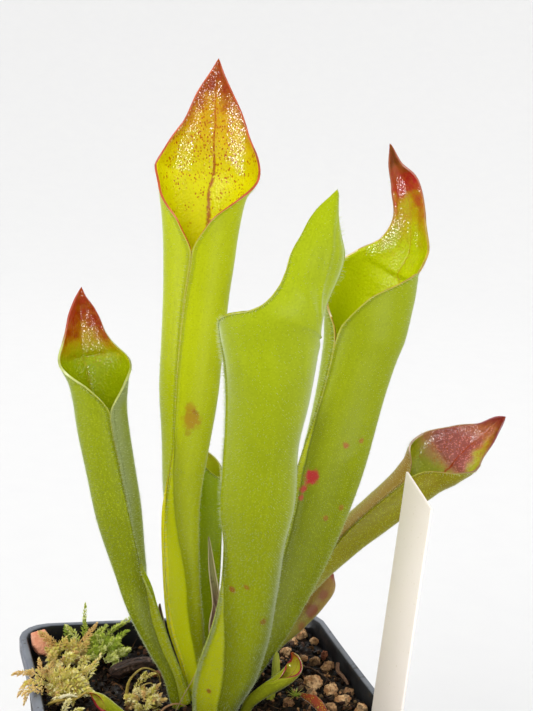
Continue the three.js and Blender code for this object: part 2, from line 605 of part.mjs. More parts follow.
function labelGeometry(grow) {
  const { width, thickness, above, buried, shoulder, taper } = LABEL;
  const outline = new THREE.Shape([
    new THREE.Vector2(-grow, above + grow),
    new THREE.Vector2(-grow, taper - buried),
    new THREE.Vector2(width / 2, -buried - grow),
    new THREE.Vector2(width + grow, taper - buried),
    new THREE.Vector2(width + grow, above - shoulder + grow),
  ]);
  const strip = new THREE.ExtrudeGeometry(outline, { depth: thickness + 2 * grow, bevelEnabled: false });
  strip.translate(0, 0, -thickness / 2 - grow);
  const across = LABEL_ACROSS.clone().addScaledVector(LABEL_UP, -LABEL_ACROSS.dot(LABEL_UP)).normalize();
  const matrix = new THREE.Matrix4().makeBasis(across, LABEL_UP, across.clone().cross(LABEL_UP));
  return strip.applyMatrix4(matrix.setPosition(LABEL_FOOT));
}

addPart('plant_label', labelGeometry(0), COLOUR.label, 0.5);

// The room that the lower end of a leaf needs in the soil.
function leafHole({ stations, foot }) {
  const low = stations.slice(0, 3);
  const points = low.map(([x, y, z]) => new THREE.Vector3(x, y, z));
  const start = points[0].clone().sub(points[1]).setLength(1.2).add(points[0]);
  const radii = low.map(([, , , halfWidth, halfDepth]) => Math.max(halfWidth, halfDepth) + 2 * GAP);
  const radiusAt = (t) => (t < 0.5 ? THREE.MathUtils.lerp(radii[0], radii[1], 2 * t)
    : THREE.MathUtils.lerp(radii[1], radii[2], 2 * t - 1));
  const hole = toSolid(facingOut(rod([start, points[1], points[2]], radiusAt, 8, 4)));
  return toGeometry(hole.trimByPlane([0, 0, 1], (foot ?? CROWN.top + GAP) - GAP));
}

function buildSoil() {
  let soil = soilBlock(0).intersect(toSolid(potInside(GAP, POT.floor + GAP, POT.height)));
  soil = soil.subtract(crownSolid(1.5 * GAP));
  for (const stump of CROWN.stumps) {
    const radius = stump.top + 1.5 * GAP;
    const mouth = new THREE.CylinderGeometry(radius, radius, 6, 12).rotateX(Math.PI / 2);
    soil = soil.subtract(toSolid(placed(mouth, stump.x, stump.y, CROWN.top + 3)));
  }
  soil = soil.subtract(toSolid(labelGeometry(2 * GAP)));
  STONES.forEach((_, i) => {
    soil = soil.subtract(toSolid(stoneGeometry(i, 1.4 * GAP)));
  });
  for (const leaf of [...Object.values(LEAVES), ...Object.values(BLADES)]) {
    soil = soil.subtract(toSolid(leafHole(leaf)));
  }
  return mainBody(soil);
}

addPart('soil', toGeometry(buildSoil()), COLOUR.soil, 1);

// Loose cover on the soil

// What lies on the soil follows its bumps a little above them, and stays clear of the pot's wall.
function seated(solid) {
  const room = toSolid(potInside(GAP, -10, POT.height + 2)).add(
    toSolid(placed(new THREE.BoxGeometry(160, 160, 20), 0, 0, POT.height + GAP + 10)),
  );
  return mainBody(solid.subtract(soilBlock(GAP)).intersect(room));
}

// A heap of moss: lumpy cores with pointed branches that stand out of them.
function mossClump({ cores, branches, seed, extra = [] }) {
  const random = seeded(seed);
  let clump = null;
  for (const [x, y, z, rx, ry, rz] of cores) {
    const core = mergeVertices(new THREE.IcosahedronGeometry(1, 2).deleteAttribute('normal')
      .deleteAttribute('uv'), 1e-3);
    const p = core.attributes.position;
    for (let i = 0; i < p.count; i += 1) {
      const rough = 0.84 + 0.28 * random();
      p.setXYZ(i, p.getX(i) * rx * rough, p.getY(i) * ry * rough, p.getZ(i) * rz * rough);
    }
    const solid = toSolid(placed(core, x, y, z));
    clump = clump ? clump.add(solid) : solid;
  }
  for (let i = 0; i < branches.count; i += 1) {
    const [x, y, z, rx, ry, rz] = cores[i % cores.length];
    const azimuth = THREE.MathUtils.degToRad(branches.from + random() * (branches.to - branches.from));
    const rise = 0.15 + 0.75 * random();
    const out = new THREE.Vector3(Math.cos(azimuth) * (1 - rise * 0.6), Math.sin(azimuth) * (1 - rise * 0.6), rise);
    out.normalize();
    const root = new THREE.Vector3(x + out.x * rx * 0.6, y + out.y * ry * 0.6, z + out.z * rz * 0.6);
    const length = branches.length * (0.7 + 0.6 * random());
    const middle = root.clone().addScaledVector(out, length * 0.55);
    const end = root.clone().addScaledVector(out, length).add(new THREE.Vector3(0, 0, 0.8 * (random() - 0.3)));
    const thickness = branches.radius * (0.8 + 0.4 * random());
    const branch = rod([root, middle, end], (t) => thickness * (t < 0.9 ? 1 - 0.35 * t : 0.25), 4, 3);
    clump = clump.add(toSolid(facingOut(branch)));
  }
  for (const path of extra) {
    const points = path.map(([x, y, z]) => new THREE.Vector3(x, y, z));
    clump = clump.add(toSolid(facingOut(rod(points, (t) => 1.0 - 0.7 * t, 5, 5))));
  }
  return seated(clump);
}

const MOSS = {
  moss_tan: { colour: COLOUR.mossTan, seed: 11, branches: { count: 15, from: 150, to: 330, length: 4.4, radius: 0.95 },
    cores: [[-30, 5.5, 73.8, 6.0, 7.4, 4.4], [-27.4, 22.5, 73.6, 4.2, 6.0, 3.8], [-28.4, 14, 72.4, 3.4, 5.2, 3.4]],
    extra: [
      [[-33, 3, 76.5], [-37.8, 1.5, 78.6], [-41.3, 0.5, 77.6]],
      [[-33, 0, 76.2], [-37.6, -2, 78.4], [-40.6, -3.2, 76.9]],
      [[-32.5, 24, 75], [-33.2, 28.5, 77.6], [-33.4, 31.5, 79]],
      [[-26, 8, 76], [-24.2, 12.5, 79], [-22.6, 14.5, 81.5]],
    ] },
  moss_green: { colour: COLOUR.mossGreen, seed: 23, branches: { count: 18, from: -80, to: 110, length: 4.2, radius: 0.8 },
    cores: [[-18.8, 26.6, 73.6, 4.2, 5.2, 4.0]],
    extra: [
      [[-19.6, 28, 74], [-21.8, 32, 77], [-22.5, 33.2, 82.2]],
      [[-17.5, 28, 74.5], [-14.8, 32.5, 77], [-12, 35.5, 78]],
    ] },
  moss_by_crown: { colour: COLOUR.mossTan, seed: 5, branches: { count: 12, from: 120, to: 300, length: 3.2, radius: 0.8 },
    cores: [[-13.2, 1.5, 71.2, 3.4, 4.0, 3.4]] },
};
for (const [name, moss] of Object.entries(MOSS)) addPart(name, toGeometry(mossClump(moss)), moss.colour, 1);

// A bent strip of bark, its end turned up towards the crown.
const barkPath = [[-18.4, 15.8, 71.4], [-14.5, 17.6, 72.0], [-10.4, 18.4, 72.4], [-6.8, 18.4, 72.2]]
  .map((point) => new THREE.Vector3(...point));
const bark = rod(barkPath, (t) => 2.3 - 1.1 * Math.abs(t - 0.4), 7, 6, 0.7);
addPart('bark', toGeometry(seated(toSolid(facingOut(bark)))), COLOUR.bark, 0.95);

// A thin root-like twig that lies by the right rim.
const twigPath = [[34.4, 8.4, 75.0], [34.0, 7.0, 73.6], [34.5, 4.2, 73.2], [34.5, 0.6, 73.0]]
  .map((point) => new THREE.Vector3(...point));
addPart('twig', toGeometry(seated(toSolid(facingOut(rod(twigPath, () => 0.45, 5, 6))))), COLOUR.twig, 0.9);

// A flat shard of terracotta that leans on the left wall.
const shardOutline = new THREE.Shape([
  [-2.6, -3], [1.6, -3.2], [2.9, -0.6], [2.2, 2.2], [0.4, 3.1], [-1.8, 2.4], [-3.0, 0.2],
].map(([u, v]) => new THREE.Vector2(u, v)));
const shard = new THREE.ExtrudeGeometry(shardOutline, { depth: 1.3, bevelEnabled: false });
shard.rotateX(Math.PI / 2);
const shardTurn = new THREE.Euler(0.25, 0, THREE.MathUtils.degToRad(35), 'ZYX');
addPart('terracotta_chip', toGeometry(seated(toSolid(placed(shard, -32.6, 29.6, 73.6, shardTurn)))), COLOUR.chip, 0.9);

export default group;
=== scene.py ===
# %% [markdown]
# # A rocket sun pitcher in its nursery pot
# A tuft of hollow leaves stands in a square black pot. The measured solids of every piece come from the
# frame. This lesson puts the living surface over them: thin glowing leaves, glossy mouths, moss, grit and
# wet soil. All places and sizes are in metres, in the frame that the solids use: the middle of the pot's
# underside is zero.

import math
import random
from collections import namedtuple

import bpy
import numpy as np
from mathutils import Matrix, Vector, noise as hills


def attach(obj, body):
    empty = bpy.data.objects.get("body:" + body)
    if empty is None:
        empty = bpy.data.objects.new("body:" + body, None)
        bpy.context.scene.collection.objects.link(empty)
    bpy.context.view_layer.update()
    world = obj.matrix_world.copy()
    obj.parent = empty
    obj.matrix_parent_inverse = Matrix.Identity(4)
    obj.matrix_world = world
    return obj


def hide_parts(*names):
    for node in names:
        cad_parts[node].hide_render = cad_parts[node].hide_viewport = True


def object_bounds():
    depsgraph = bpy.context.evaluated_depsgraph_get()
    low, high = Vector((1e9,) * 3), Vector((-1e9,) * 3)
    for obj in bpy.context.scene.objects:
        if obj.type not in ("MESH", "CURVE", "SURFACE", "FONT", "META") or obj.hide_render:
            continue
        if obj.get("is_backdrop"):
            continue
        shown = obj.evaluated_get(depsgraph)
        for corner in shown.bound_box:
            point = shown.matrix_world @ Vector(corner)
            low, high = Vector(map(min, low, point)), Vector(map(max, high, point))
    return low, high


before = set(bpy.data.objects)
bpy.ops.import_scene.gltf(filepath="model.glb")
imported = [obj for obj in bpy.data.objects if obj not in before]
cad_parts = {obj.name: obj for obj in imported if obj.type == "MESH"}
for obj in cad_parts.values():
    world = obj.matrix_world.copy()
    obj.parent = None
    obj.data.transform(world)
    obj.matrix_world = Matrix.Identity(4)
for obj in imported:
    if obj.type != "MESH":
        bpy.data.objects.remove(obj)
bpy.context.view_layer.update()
MM = 0.001


def plain_box():
    return [[round(float(value), 5) for value in corner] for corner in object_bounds()]


# %% [markdown]
# ## Camera
# The photograph looks a little down on the plant from its front left, with a slight roll of the hand. A
# long lens from a quarter of a metre away gives the same perspective: the pitcher that leans forward
# grows large.

# %% Camera
camera_data = bpy.data.cameras.new("camera")
camera_data.lens = 65.8
camera_data.sensor_width = 36
camera_data.clip_start = 0.01
camera = bpy.data.objects.new("camera", camera_data)
bpy.context.scene.collection.objects.link(camera)
turn = Matrix.Rotation(math.radians(-15.8), 4, "Z") @ Matrix.Rotation(math.radians(79.2), 4, "X")
turn = turn @ Matrix.Rotation(math.radians(3.4), 4, "Z")
camera.matrix_world = Matrix.Translation((-0.0647, -0.264, 0.203)) @ turn
bpy.context.scene.camera = camera
print("camera at", [round(value, 3) for value in camera.location])

# %% [markdown]
# ## Light
# The plant stands in a white light tent. A pale sky lights it from everywhere, a wide lamp on the left
# gives the tubes their round shading, a weak one on the right adds a second gleam to the hoods, and one
# behind lets the thin blades glow. They are far away, so the floor stays even. Three small lamps close by
# put sparkles on the wet insides of the hoods. Only glossy places see them, so they don't change the
# shading.

# %% Light
bpy.context.scene.view_settings.view_transform = "Standard"
world = bpy.data.worlds.new("light tent")
world.use_nodes = True
sky = world.node_tree.nodes["Background"].inputs
sky["Color"].default_value = (1.0, 1.0, 1.0, 1)
sky["Strength"].default_value = 0.95
bpy.context.scene.world = world
HOODS = (0, 0.02, 0.18)


def lamp(name, kind, place, aim, **settings):
    """A lamp at a place, which looks towards what it aims at."""
    data = bpy.data.lights.new(name, kind)
    for key, value in settings.items():
        setattr(data, key, value)
    light = bpy.data.objects.new(name, data)
    bpy.context.scene.collection.objects.link(light)
    turn = (Vector(place) - Vector(aim)).to_track_quat("Z", "Y")
    light.matrix_world = Matrix.LocRotScale(Vector(place), turn, None)
    return light


def far_lamp(name, place, wide, strength, colour=(1, 1, 1)):
    """A lamp so far away that it lights the floor evenly. `wide` is how many degrees of the sky it fills."""
    lamp(name, "SUN", place, (0, 0, 0), angle=math.radians(wide), energy=strength, color=colour)


def near_lamp(name, place, size, power):
    """A small round lamp close to the plant, which only its shiny places reflect."""
    light = lamp(name, "AREA", place, HOODS, shape="DISK", size=size, energy=power)
    light.visible_camera = False
    light.visible_diffuse = False
    light.visible_transmission = False


far_lamp("key lamp", (-1.1, -1.1, 1.15), 30, 1.25, (1.0, 0.99, 0.96))
far_lamp("fill lamp", (1.7, -1.0, 0.8), 26, 0.5)
far_lamp("back lamp", (-0.3, 1.6, 1.5), 40, 1.6)
near_lamp("left glint", (-0.6, -0.08, 0.13), 0.05, 5)
near_lamp("right glint", (0.29, -0.49, 0.08), 0.04, 3.6)
near_lamp("front glint", (0.06, -0.47, 0.05), 0.04, 1.8)
print("lamps:", len(bpy.data.lights))

# %% [markdown]
# ## Writing materials
# A material here is a short piece of sums. `Finish` makes one material and its `node` method adds any
# node. `Number` wraps a socket, so that `1 - mask * 0.5` writes its Math nodes by itself. The colour is
# built up like coats of paint: each coat has its own mask, which says where it lies and how thick.
# Numbers that are the same all over a surface are set on the shader itself.

# %% Sums on sockets


def rgb(red, green, blue):
    """A colour as it looks on a screen, 0 to 255, as the linear values that a shader takes."""
    channels = [value / 255 for value in (red, green, blue)]
    return tuple(c / 12.92 if c <= 0.04045 else ((c + 0.055) / 1.055) ** 2.4 for c in channels)


def times(share, colour):
    """The same colour, darker or lighter."""
    return tuple(min(1, share * value) for value in colour)


class Number:
    """A socket that carries a number, on which sums can be written."""

    def __init__(self, finish, socket):
        self.finish = finish
        self.socket = socket

    def sum(self, operation, first, second=0.0):
        return self.finish.node("ShaderNodeMath", {"operation": operation}, {0: first, 1: second})

    def __add__(self, other):
        return self.sum("ADD", self, other)

    def __radd__(self, other):
        return self.sum("ADD", other, self)

    def __sub__(self, other):
        return self.sum("SUBTRACT", self, other)

    def __rsub__(self, other):
        return self.sum("SUBTRACT", other, self)

    def __mul__(self, other):
        return self.sum("MULTIPLY", self, other)

    def __rmul__(self, other):
        return self.sum("MULTIPLY", other, self)

    def __abs__(self):
        return self.sum("ABSOLUTE", self)

    def most(self, other):
        return self.sum("MAXIMUM", self, other)


print("sums on sockets; lime green is", [round(value, 3) for value in rgb(190, 203, 8)])

# %% One finish


class Finish:
    """One procedural material: its Principled shader, the nodes that feed it, and its colour so far."""

    def __init__(self, name, **uniform):
        self.colour = None
        self.material = bpy.data.materials.new(name)
        self.material.use_nodes = True
        self.nodes = self.material.node_tree.nodes
        self.shader = self.nodes["Principled BSDF"]
        for socket, value in uniform.items():
            self.put(self.shader.inputs[socket.replace("_", " ")], value)

    def put(self, socket, value):
        if isinstance(value, Number):
            self.material.node_tree.links.new(value.socket, socket)
        elif isinstance(value, (tuple, list)) and socket.type == "RGBA":
            socket.default_value = (*value, 1.0)
        else:
            socket.default_value = value

    def node(self, kind, settings=None, values=None, out=0):
        node = self.nodes.new(kind)
        for name, setting in (settings or {}).items():
            setattr(node, name, setting)
        for name, value in (values or {}).items():
            self.put(node.inputs[name], value)
        return Number(self, node.outputs[out])

    def feed(self, socket, value):
        self.put(self.shader.inputs[socket], value)

    def start(self, mask, first, second):
        """The ground colour: the first where the mask is 0, the second where it is 1."""
        self.colour = self.blend(mask, first, second)
        self.feed("Base Color", self.colour)

    def paint(self, mask, colour):
        """One more coat of colour, as thick as the mask says."""
        self.colour = self.blend(mask, self.colour, colour)
        self.feed("Base Color", self.colour)

    def place(self):
        return self.node("ShaderNodeTexCoord", out="Object")

    def along(self):
        """The piece's own two directions, from its UV map: across 0 to 1, and up from foot to tip 0 to 1."""
        uv = self.node("ShaderNodeTexCoord", out="UV")
        return self.part(uv, "X"), self.part(uv, "Y")

    def part(self, vector, letter):
        return self.node("ShaderNodeSeparateXYZ", values={0: vector}, out=letter)

    def chart(self, across, up):
        return self.node("ShaderNodeCombineXYZ", values={0: across, 1: up})

    def stretched(self, vector, x, y, z):
        return self.node("ShaderNodeVectorMath", {"operation": "MULTIPLY"}, {0: vector, 1: (x, y, z)})

    def tint(self):
        """The random number that each small copy in a joined piece carries."""
        return self.node("ShaderNodeAttribute", {"attribute_name": "tint"}, out="Fac")

    def noise(self, scale, detail=2.0, place=None, rough=0.5):
        values = {"Vector": place or self.place(), "Scale": scale, "Detail": detail, "Roughness": rough}
        return self.node("ShaderNodeTexNoise", values=values)

    def cells(self, scale, place):
        """The distance to the nearest of many scattered points."""
        return self.node("ShaderNodeTexVoronoi", values={"Vector": place, "Scale": scale})

    def fade(self, value, low, high, start=0.0, end=1.0):
        values = {"Value": value, "From Min": low, "From Max": high, "To Min": start, "To Max": end}
        return self.node("ShaderNodeMapRange", {"interpolation_type": "SMOOTHSTEP"}, values)

    def blend(self, mask, first, second):
        return self.node("ShaderNodeMix", {"data_type": "RGBA"}, {0: mask, 6: first, 7: second}, out=2)

    def ladder(self, pick, shades, soft):
        """The ground colour as a row of shades, which a number picks from, with soft steps between them."""
        self.colour = shades[0]
        for i, shade in enumerate(shades[1:], 1):
            step = i / len(shades)
            self.paint(self.fade(pick, step - soft, step + soft), shade)

    def away_from(self, point, place):
        """The distance from a point in the frame."""
        return self.node("ShaderNodeVectorMath", {"operation": "DISTANCE"}, {0: place, 1: point}, out="Value")

    def bump(self, height, distance, strength):
        self.feed("Normal", self.node("ShaderNodeBump", values={
            "Height": height, "Distance": distance, "Strength": strength}))

    def glow(self, colour, share):
        """Lets light through a thin sheet: a share of the surface scatters it to the other side."""
        links = self.material.node_tree.links
        through = self.node("ShaderNodeBsdfTranslucent", values={"Color": colour})
        mixed = self.nodes.new("ShaderNodeMixShader")
        mixed.inputs[0].default_value = share
        links.new(self.shader.outputs[0], mixed.inputs[1])
        links.new(through.socket, mixed.inputs[2])
        links.new(mixed.outputs[0], self.nodes["Material Output"].inputs["Surface"])


print("a finish is made by name and fed by sums")

# %% [markdown]
# ## The floor
# The floor is a wide pale dish that curves up far away, so no horizon line crosses the picture from any
# side. A disc is drawn outwards in rings, each one wider and lifted more steeply than the last.

# %% Helpers for modelling


def alone():
    """Takes every object out of the selection, so that the next operator acts on the new one only."""
    if bpy.context.object and bpy.context.object.mode != "OBJECT":
        bpy.ops.object.mode_set(mode="OBJECT")
    bpy.ops.object.select_all(action="DESELECT")


def named(name, *materials):
    """Names the piece just made and gives it its materials."""
    piece = bpy.context.object
    piece.name = name
    piece.data.name = name
    piece.data.materials.clear()
    for material in materials:
        piece.data.materials.append(material)
    return piece


def size_of(piece):
    return f"{piece.name}: {len(piece.data.vertices)} points, {len(piece.data.polygons)} faces"


def edit_all():
    """Opens the piece in hand in edit mode, with all of it selected."""
    bpy.ops.object.mode_set(mode="EDIT")
    bpy.ops.mesh.select_all(action="SELECT")


def close_edit():
    bpy.ops.object.mode_set(mode="OBJECT")


def modified(piece, kind, **settings):
    """Adds a modifier to the piece in hand, sets it and applies it."""
    modifier = piece.modifiers.new(kind.lower(), kind)
    for name, value in settings.items():
        setattr(modifier, name, value)
    bpy.ops.object.modifier_apply(modifier=modifier.name)


print("helpers: alone, named, size_of, edit_all, close_edit, modified")

# %% The floor
RINGS = 8
STEEPER = math.radians(9)

floor_finish = Finish("pale floor", Roughness=0.9, Specular_IOR_Level=0.1)
floor_finish.start(floor_finish.noise(60, 3), rgb(205, 205, 206), rgb(208, 208, 208))
alone()
bpy.ops.mesh.primitive_circle_add(vertices=96, radius=1.2, fill_type="NGON")
floor = named("floor", floor_finish.material)
edit_all()
for ring in range(1, RINGS + 1):
    slope = STEEPER * ring
    wider = 1 + 0.14 * math.cos(slope)
    bpy.ops.mesh.extrude_region_move()
    bpy.ops.transform.resize(value=(wider, wider, 1))
    bpy.ops.transform.translate(value=(0, 0, 0.2 * math.sin(slope)))
bpy.ops.mesh.delete(type="ONLY_FACE")
close_edit()
bpy.ops.object.shade_smooth()
floor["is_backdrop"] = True
print(size_of(floor))

# %% [markdown]
# ## How a pitcher is shaped
# A pitcher is one leaf rolled into a tube whose edges have grown together down the front. At the mouth
# the edges part, and the blade above them narrows to a pointed hood. It could be sculpted, but the roll
# is easier to keep true when it is written down. A flat grid is made, one column for each place round the
# leaf and one row for each height, and every point of it is carried to its place on the leaf. The
# stations give the axis point in millimetres, the half width and half depth, how far the blade wraps
# round from its back (180 closes it), how much its front is drawn out into a wing, the way that it faces,
# and the lean of its section.

# %% A smooth curve


class Curve:
    """A smooth curve through uneven points. A steady one never swings past its points."""

    def __init__(self, places, values, steady):
        self.places = places
        self.values = values
        steps = np.diff(places)
        rates = np.diff(values) / steps
        before, after = rates[:-1], rates[1:]
        if steady:
            same = before * after > 0
            middle = np.where(same, 2 * before * after / np.where(same, before + after, 1), 0)
        else:
            middle = (before * steps[1:] + after * steps[:-1]) / (steps[1:] + steps[:-1])
        self.slopes = np.concatenate([rates[:1], middle, rates[-1:]])

    def __call__(self, t):
        i = np.clip(np.searchsorted(self.places, t) - 1, 0, len(self.places) - 2)
        h = self.places[i + 1] - self.places[i]
        s = (t - self.places[i]) / h
        return (
            (2 * s**3 - 3 * s**2 + 1) * self.values[i]
            + (s**3 - 2 * s**2 + s) * h * self.slopes[i]
            + (3 * s**2 - 2 * s**3) * self.values[i + 1]
            + (s**3 - s**2) * h * self.slopes[i + 1]
        )


step_up = Curve(np.array([0, 1, 2]), np.array([0, 1, 1]), True)
print("halfway up a step, a steady curve is at", step_up(0.5))

# %% The leaf's surface
SHAPE = ("width", "depth", "wrap", "wing", "turn", "lean")
CLOSED = 180
NEAR_UP = 2e-4
NEAR_ROUND = 0.01


def unit(vectors):
    return vectors / np.maximum(np.linalg.norm(vectors, axis=-1, keepdims=True), 1e-12)


class Leaf:
    """A rolled leaf as a surface: a point for each height t in metres and each place u round it, -1 to 1.

    `edge` gives the wrap by itself, as pairs of height and wrap, where the mouth opens faster than the
    stations tell. `window` is the length that the leaf's direction is read over, longer for a bend under a
    wide mouth.
    """

    def __init__(self, stations, edge=None, window=None):
        rows = np.array([list(station) + [0.0] * (9 - len(station)) for station in stations], float)
        rows[:, :5] *= MM
        axis = rows[:, :3]
        self.places = np.concatenate([[0], np.cumsum(np.linalg.norm(np.diff(axis, axis=0), axis=1))])
        self.total = self.places[-1]
        self.axis = [Curve(self.places, axis[:, i], False) for i in range(3)]
        self.shape = {name: Curve(self.places, rows[:, 3 + i], True) for i, name in enumerate(SHAPE)}
        self.mouth = self.places[np.flatnonzero(self.shape["wrap"].values >= CLOSED)[-1]]
        self.window = window or self.total * 1e-3
        if edge:
            heights, wraps = np.array([(0, CLOSED)] + edge, float).T
            self.shape["wrap"] = Curve(heights * MM, wraps, True)
            self.mouth = heights[1] * MM

    def middle(self, t):
        return np.stack([curve(t) for curve in self.axis], axis=-1)

    def directions(self, t):
        ahead = self.middle(np.minimum(t + self.window, self.total))
        up = unit(ahead - self.middle(np.maximum(t - self.window, 0)))
        front = np.array([0.0, -1.0, 0.0])
        front = unit(front - up * np.sum(front * up, axis=-1, keepdims=True))
        aside = np.cross(up, front)
        turn = np.radians(self.shape["turn"](t))[..., None]
        facing = front * np.cos(turn) + aside * np.sin(turn)
        return up, facing, np.cross(up, facing)

    def section(self, t, u):
        """How far a point lies across and in front of the axis."""
        angle = np.radians(self.shape["wrap"](t)) * u
        narrow = np.abs(np.cos(angle / 2)) ** self.shape["wing"](t)
        across = self.shape["width"](t) * np.sin(angle) * narrow
        return across, -self.shape["depth"](t) * np.cos(angle)

    def point(self, t, u):
        up, facing, side = self.directions(t)
        across, depth = (value[..., None] for value in self.section(t, u))
        lean = self.shape["lean"](t)[..., None] * across
        return self.middle(t) + facing * depth + side * across + up * lean

    def outward(self, t, u):
        """The direction out of the leaf, and how many metres a step of one in u is worth."""
        low, high = np.maximum(t - NEAR_UP, 0), np.minimum(t + NEAR_UP, self.total)
        left, right = np.maximum(u - NEAR_ROUND, -1), np.minimum(u + NEAR_ROUND, 1)
        along = self.point(high, u) - self.point(low, u)
        around = self.point(t, right) - self.point(t, left)
        return unit(np.cross(along, around)), np.linalg.norm(around, axis=-1) / (right - left)

    def openness(self, t, u):
        """How open the grid is: 1 where rows and columns cross squarely, 0 where a bend pinches them."""
        low, high = np.maximum(t - MM, 0), np.minimum(t + MM, self.total)
        left, right = np.maximum(u - NEAR_ROUND, -1), np.minimum(u + NEAR_ROUND, 1)
        along = (self.point(high, u) - self.point(low, u)) / (high - low)[..., None]
        around = unit(self.point(t, right) - self.point(t, left))
        return np.linalg.norm(np.cross(along, around), axis=-1)

    def rows(self, count):
        """Heights for the rows, closer together where the mouth opens quickly."""
        fine = np.linspace(0, self.total, 4000)
        opening = np.abs(np.gradient(self.shape["wrap"](fine), fine)) * MM
        weight = np.cumsum(1 + np.minimum(opening / 8, 4))
        weight = (weight - weight[0]) / (weight[-1] - weight[0])
        return np.interp(np.linspace(0, 1, count + 1), weight, fine)


print("a leaf is a surface of height and turn, shaped by", ", ".join(SHAPE))

# %% [markdown]
# ## From surface to blade
# The real blade is about half a millimetre thick, with a raised double line where its edges have joined,
# a keel up its back, and a thin bead along the open margin. The relief is added to the points. Then
# Solidify gives the blade its thickness inwards, with less of it where the tube is pinched, so the inner
# wall never comes through. The outside, the inside and the margin each take a finish of their own.

# %% Relief
Fold = namedtuple("Fold", "side foot low high lit")


def fold_place(fold, share):
    """Where a wing's fold runs, as a turn u, at a share of the leaf's length. It meets the seam higher up."""
    step = np.clip((share - fold.low) / (fold.high - fold.low), 0, 1)
    return fold.side * (fold.foot + (1 - fold.foot) * step * step * (3 - 2 * step))


def hump(distance, width):
    """A rounded ridge: 1 at its top, fading with the distance from it."""
    return np.exp(-((distance / width) ** 2))


def relief(leaf, t, u, fold):
    """How far the surface stands out from its plain shape."""
    _, reach = leaf.outward(t, u)
    from_edge = (1 - np.abs(u)) * reach
    from_back = np.abs(u) * reach
    room = np.minimum(1, leaf.shape["width"](t) / (4 * MM))
    joined = 0.34 * MM * hump(from_edge - 0.5 * MM, 0.24 * MM)
    bead = 0.16 * MM * hump(from_edge, 0.4 * MM)
    opened = np.clip((t - leaf.mouth) / (3 * MM), 0, 1)
    keel = 0.3 * MM * hump(from_back, 0.9 * MM)
    wave = 0.11 * MM * np.sin(t / (6.3 * MM) + 5 * u) * np.sin(t / (15 * MM) - 2.5 * u + 1)
    loose = np.clip(3 * leaf.openness(t, u) - 1.2, 0, 1)
    height = room * (joined * (1 - opened) + bead * opened + (keel + wave) * loose)
    if fold:
        place = fold_place(fold, t / leaf.total)
        ridge = 0.5 * MM * hump((u - place) * reach, 0.75 * MM)
        dip = 0.35 * MM * hump((np.abs(u) - 0.5 - 0.5 * np.abs(place)) * reach, 1.6 * MM)
        height = height + (ridge - dip * (u * fold.side > 0)) * np.clip((1 - np.abs(place)) / 0.15, 0, 1)
    return height


print("relief: seam, bead, keel, waves and fold")

# %% From surface to blade
WALL = 0.5 * MM
CROWDED = 1.6


def wall_share(leaf, t, u, out, wall, step):
    """How much of its wall a blade can have at each place, so that the inner side never comes through."""
    across, _ = leaf.section(t, u)
    sideways = np.abs(np.sum(out * leaf.directions(t)[2], axis=-1))
    room = 0.8 * np.abs(across) / (wall * np.maximum(sideways, 0.02))
    room = np.where(t > leaf.mouth, 1, room)
    room = np.minimum(room, leaf.shape["width"](t) / (3 * wall))
    above, below = np.minimum(t + step, leaf.total), np.maximum(t - step, 0)
    rise = leaf.point(above, u) - leaf.point(below, u)
    bending = np.sum((leaf.outward(above, u)[0] - leaf.outward(below, u)[0]) * unit(rise), axis=-1)
    room = np.minimum(room, 0.6 * np.linalg.norm(rise, axis=-1) / (wall * np.maximum(bending, 1e-6)))
    room = np.minimum(room, 3 * leaf.openness(t, u) - 1.4)
    return np.clip(room, 0.03, 1)


def rolled(name, skins, columns, rows, stations, wall=WALL, fold=None, **bend):
    """A leaf from a grid that is rolled up to its stations. Its skins are outside, inside and margin."""
    leaf = Leaf(stations, **bend)
    alone()
    bpy.ops.mesh.primitive_grid_add(x_subdivisions=columns, y_subdivisions=rows, size=2, calc_uvs=True)
    piece = named(name, *skins)
    mesh = piece.data
    flat = np.empty(len(mesh.vertices) * 3)
    mesh.vertices.foreach_get("co", flat)
    flat = flat.reshape(-1, 3)
    x = flat[:, 0]
    u = np.sign(x) * (1 - (1 - np.abs(x)) ** CROWDED)
    heights = leaf.rows(rows)
    t = heights[np.rint((flat[:, 1] + 1) / 2 * rows).astype(int)]
    out, _ = leaf.outward(t, u)
    tip = t > leaf.total - 1e-9
    places = leaf.point(t, u) + out * (relief(leaf, t, u, fold) * ~tip)[:, None]
    places[tip] = leaf.middle(np.array([leaf.total]))
    mesh.vertices.foreach_set("co", places.ravel())

    corners = np.empty(len(mesh.loops), int)
    mesh.loops.foreach_get("vertex_index", corners)
    unrolled = np.stack([0.5 + 0.5 * u, t / leaf.total], axis=-1)[corners]
    mesh.uv_layers[0].data.foreach_set("uv", unrolled.ravel())

    group = piece.vertex_groups.new(name="wall")
    for i, share in enumerate(wall_share(leaf, t, u, out, wall, leaf.total / rows)):
        group.add([i], float(share), "REPLACE")
    edit_all()
    bpy.ops.mesh.remove_doubles(threshold=0.02 * MM)
    bpy.ops.mesh.flip_normals()
    close_edit()
    bpy.ops.object.shade_smooth()
    modified(piece, "SOLIDIFY", thickness=wall, offset=-1, vertex_group="wall", material_offset=1,
             material_offset_rim=2)
    piece.vertex_groups.clear()
    return piece


def stands_for(piece, node):
    """Ties a finished piece to the body and hides the solid that it dresses."""
    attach(piece, "root")
    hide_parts(node)
    print(size_of(piece))


print("blade", WALL, "m thick")

# %% [markdown]
# ## The outside of a pitcher
# Outside, the skin is matt and velvety: lime green, yellower up the tube and darker towards the foot. That
# change is partly the leaf's own colour, partly painted shade low down where the leaves crowd each other,
# and partly painted light in the upper tube, where light comes through it. There are faint lengthwise veins
# and a dust of tiny pale hairs that turns its edges greyish. That last look is what Sheen is for. The veins
# follow the leaf's own UV map. Bruises are measured from points. Light and shade on a wing's fold, and
# shade on one side of some tubes, are painted too.

# %% The outside of a pitcher
FlushAndShade = namedtuple("FlushAndShade", "colour none full strength low high")


def from_margin(across):
    """0 at either margin of the leaf, 1 along its back."""
    return (0.5 - abs(across - 0.5)) * 2


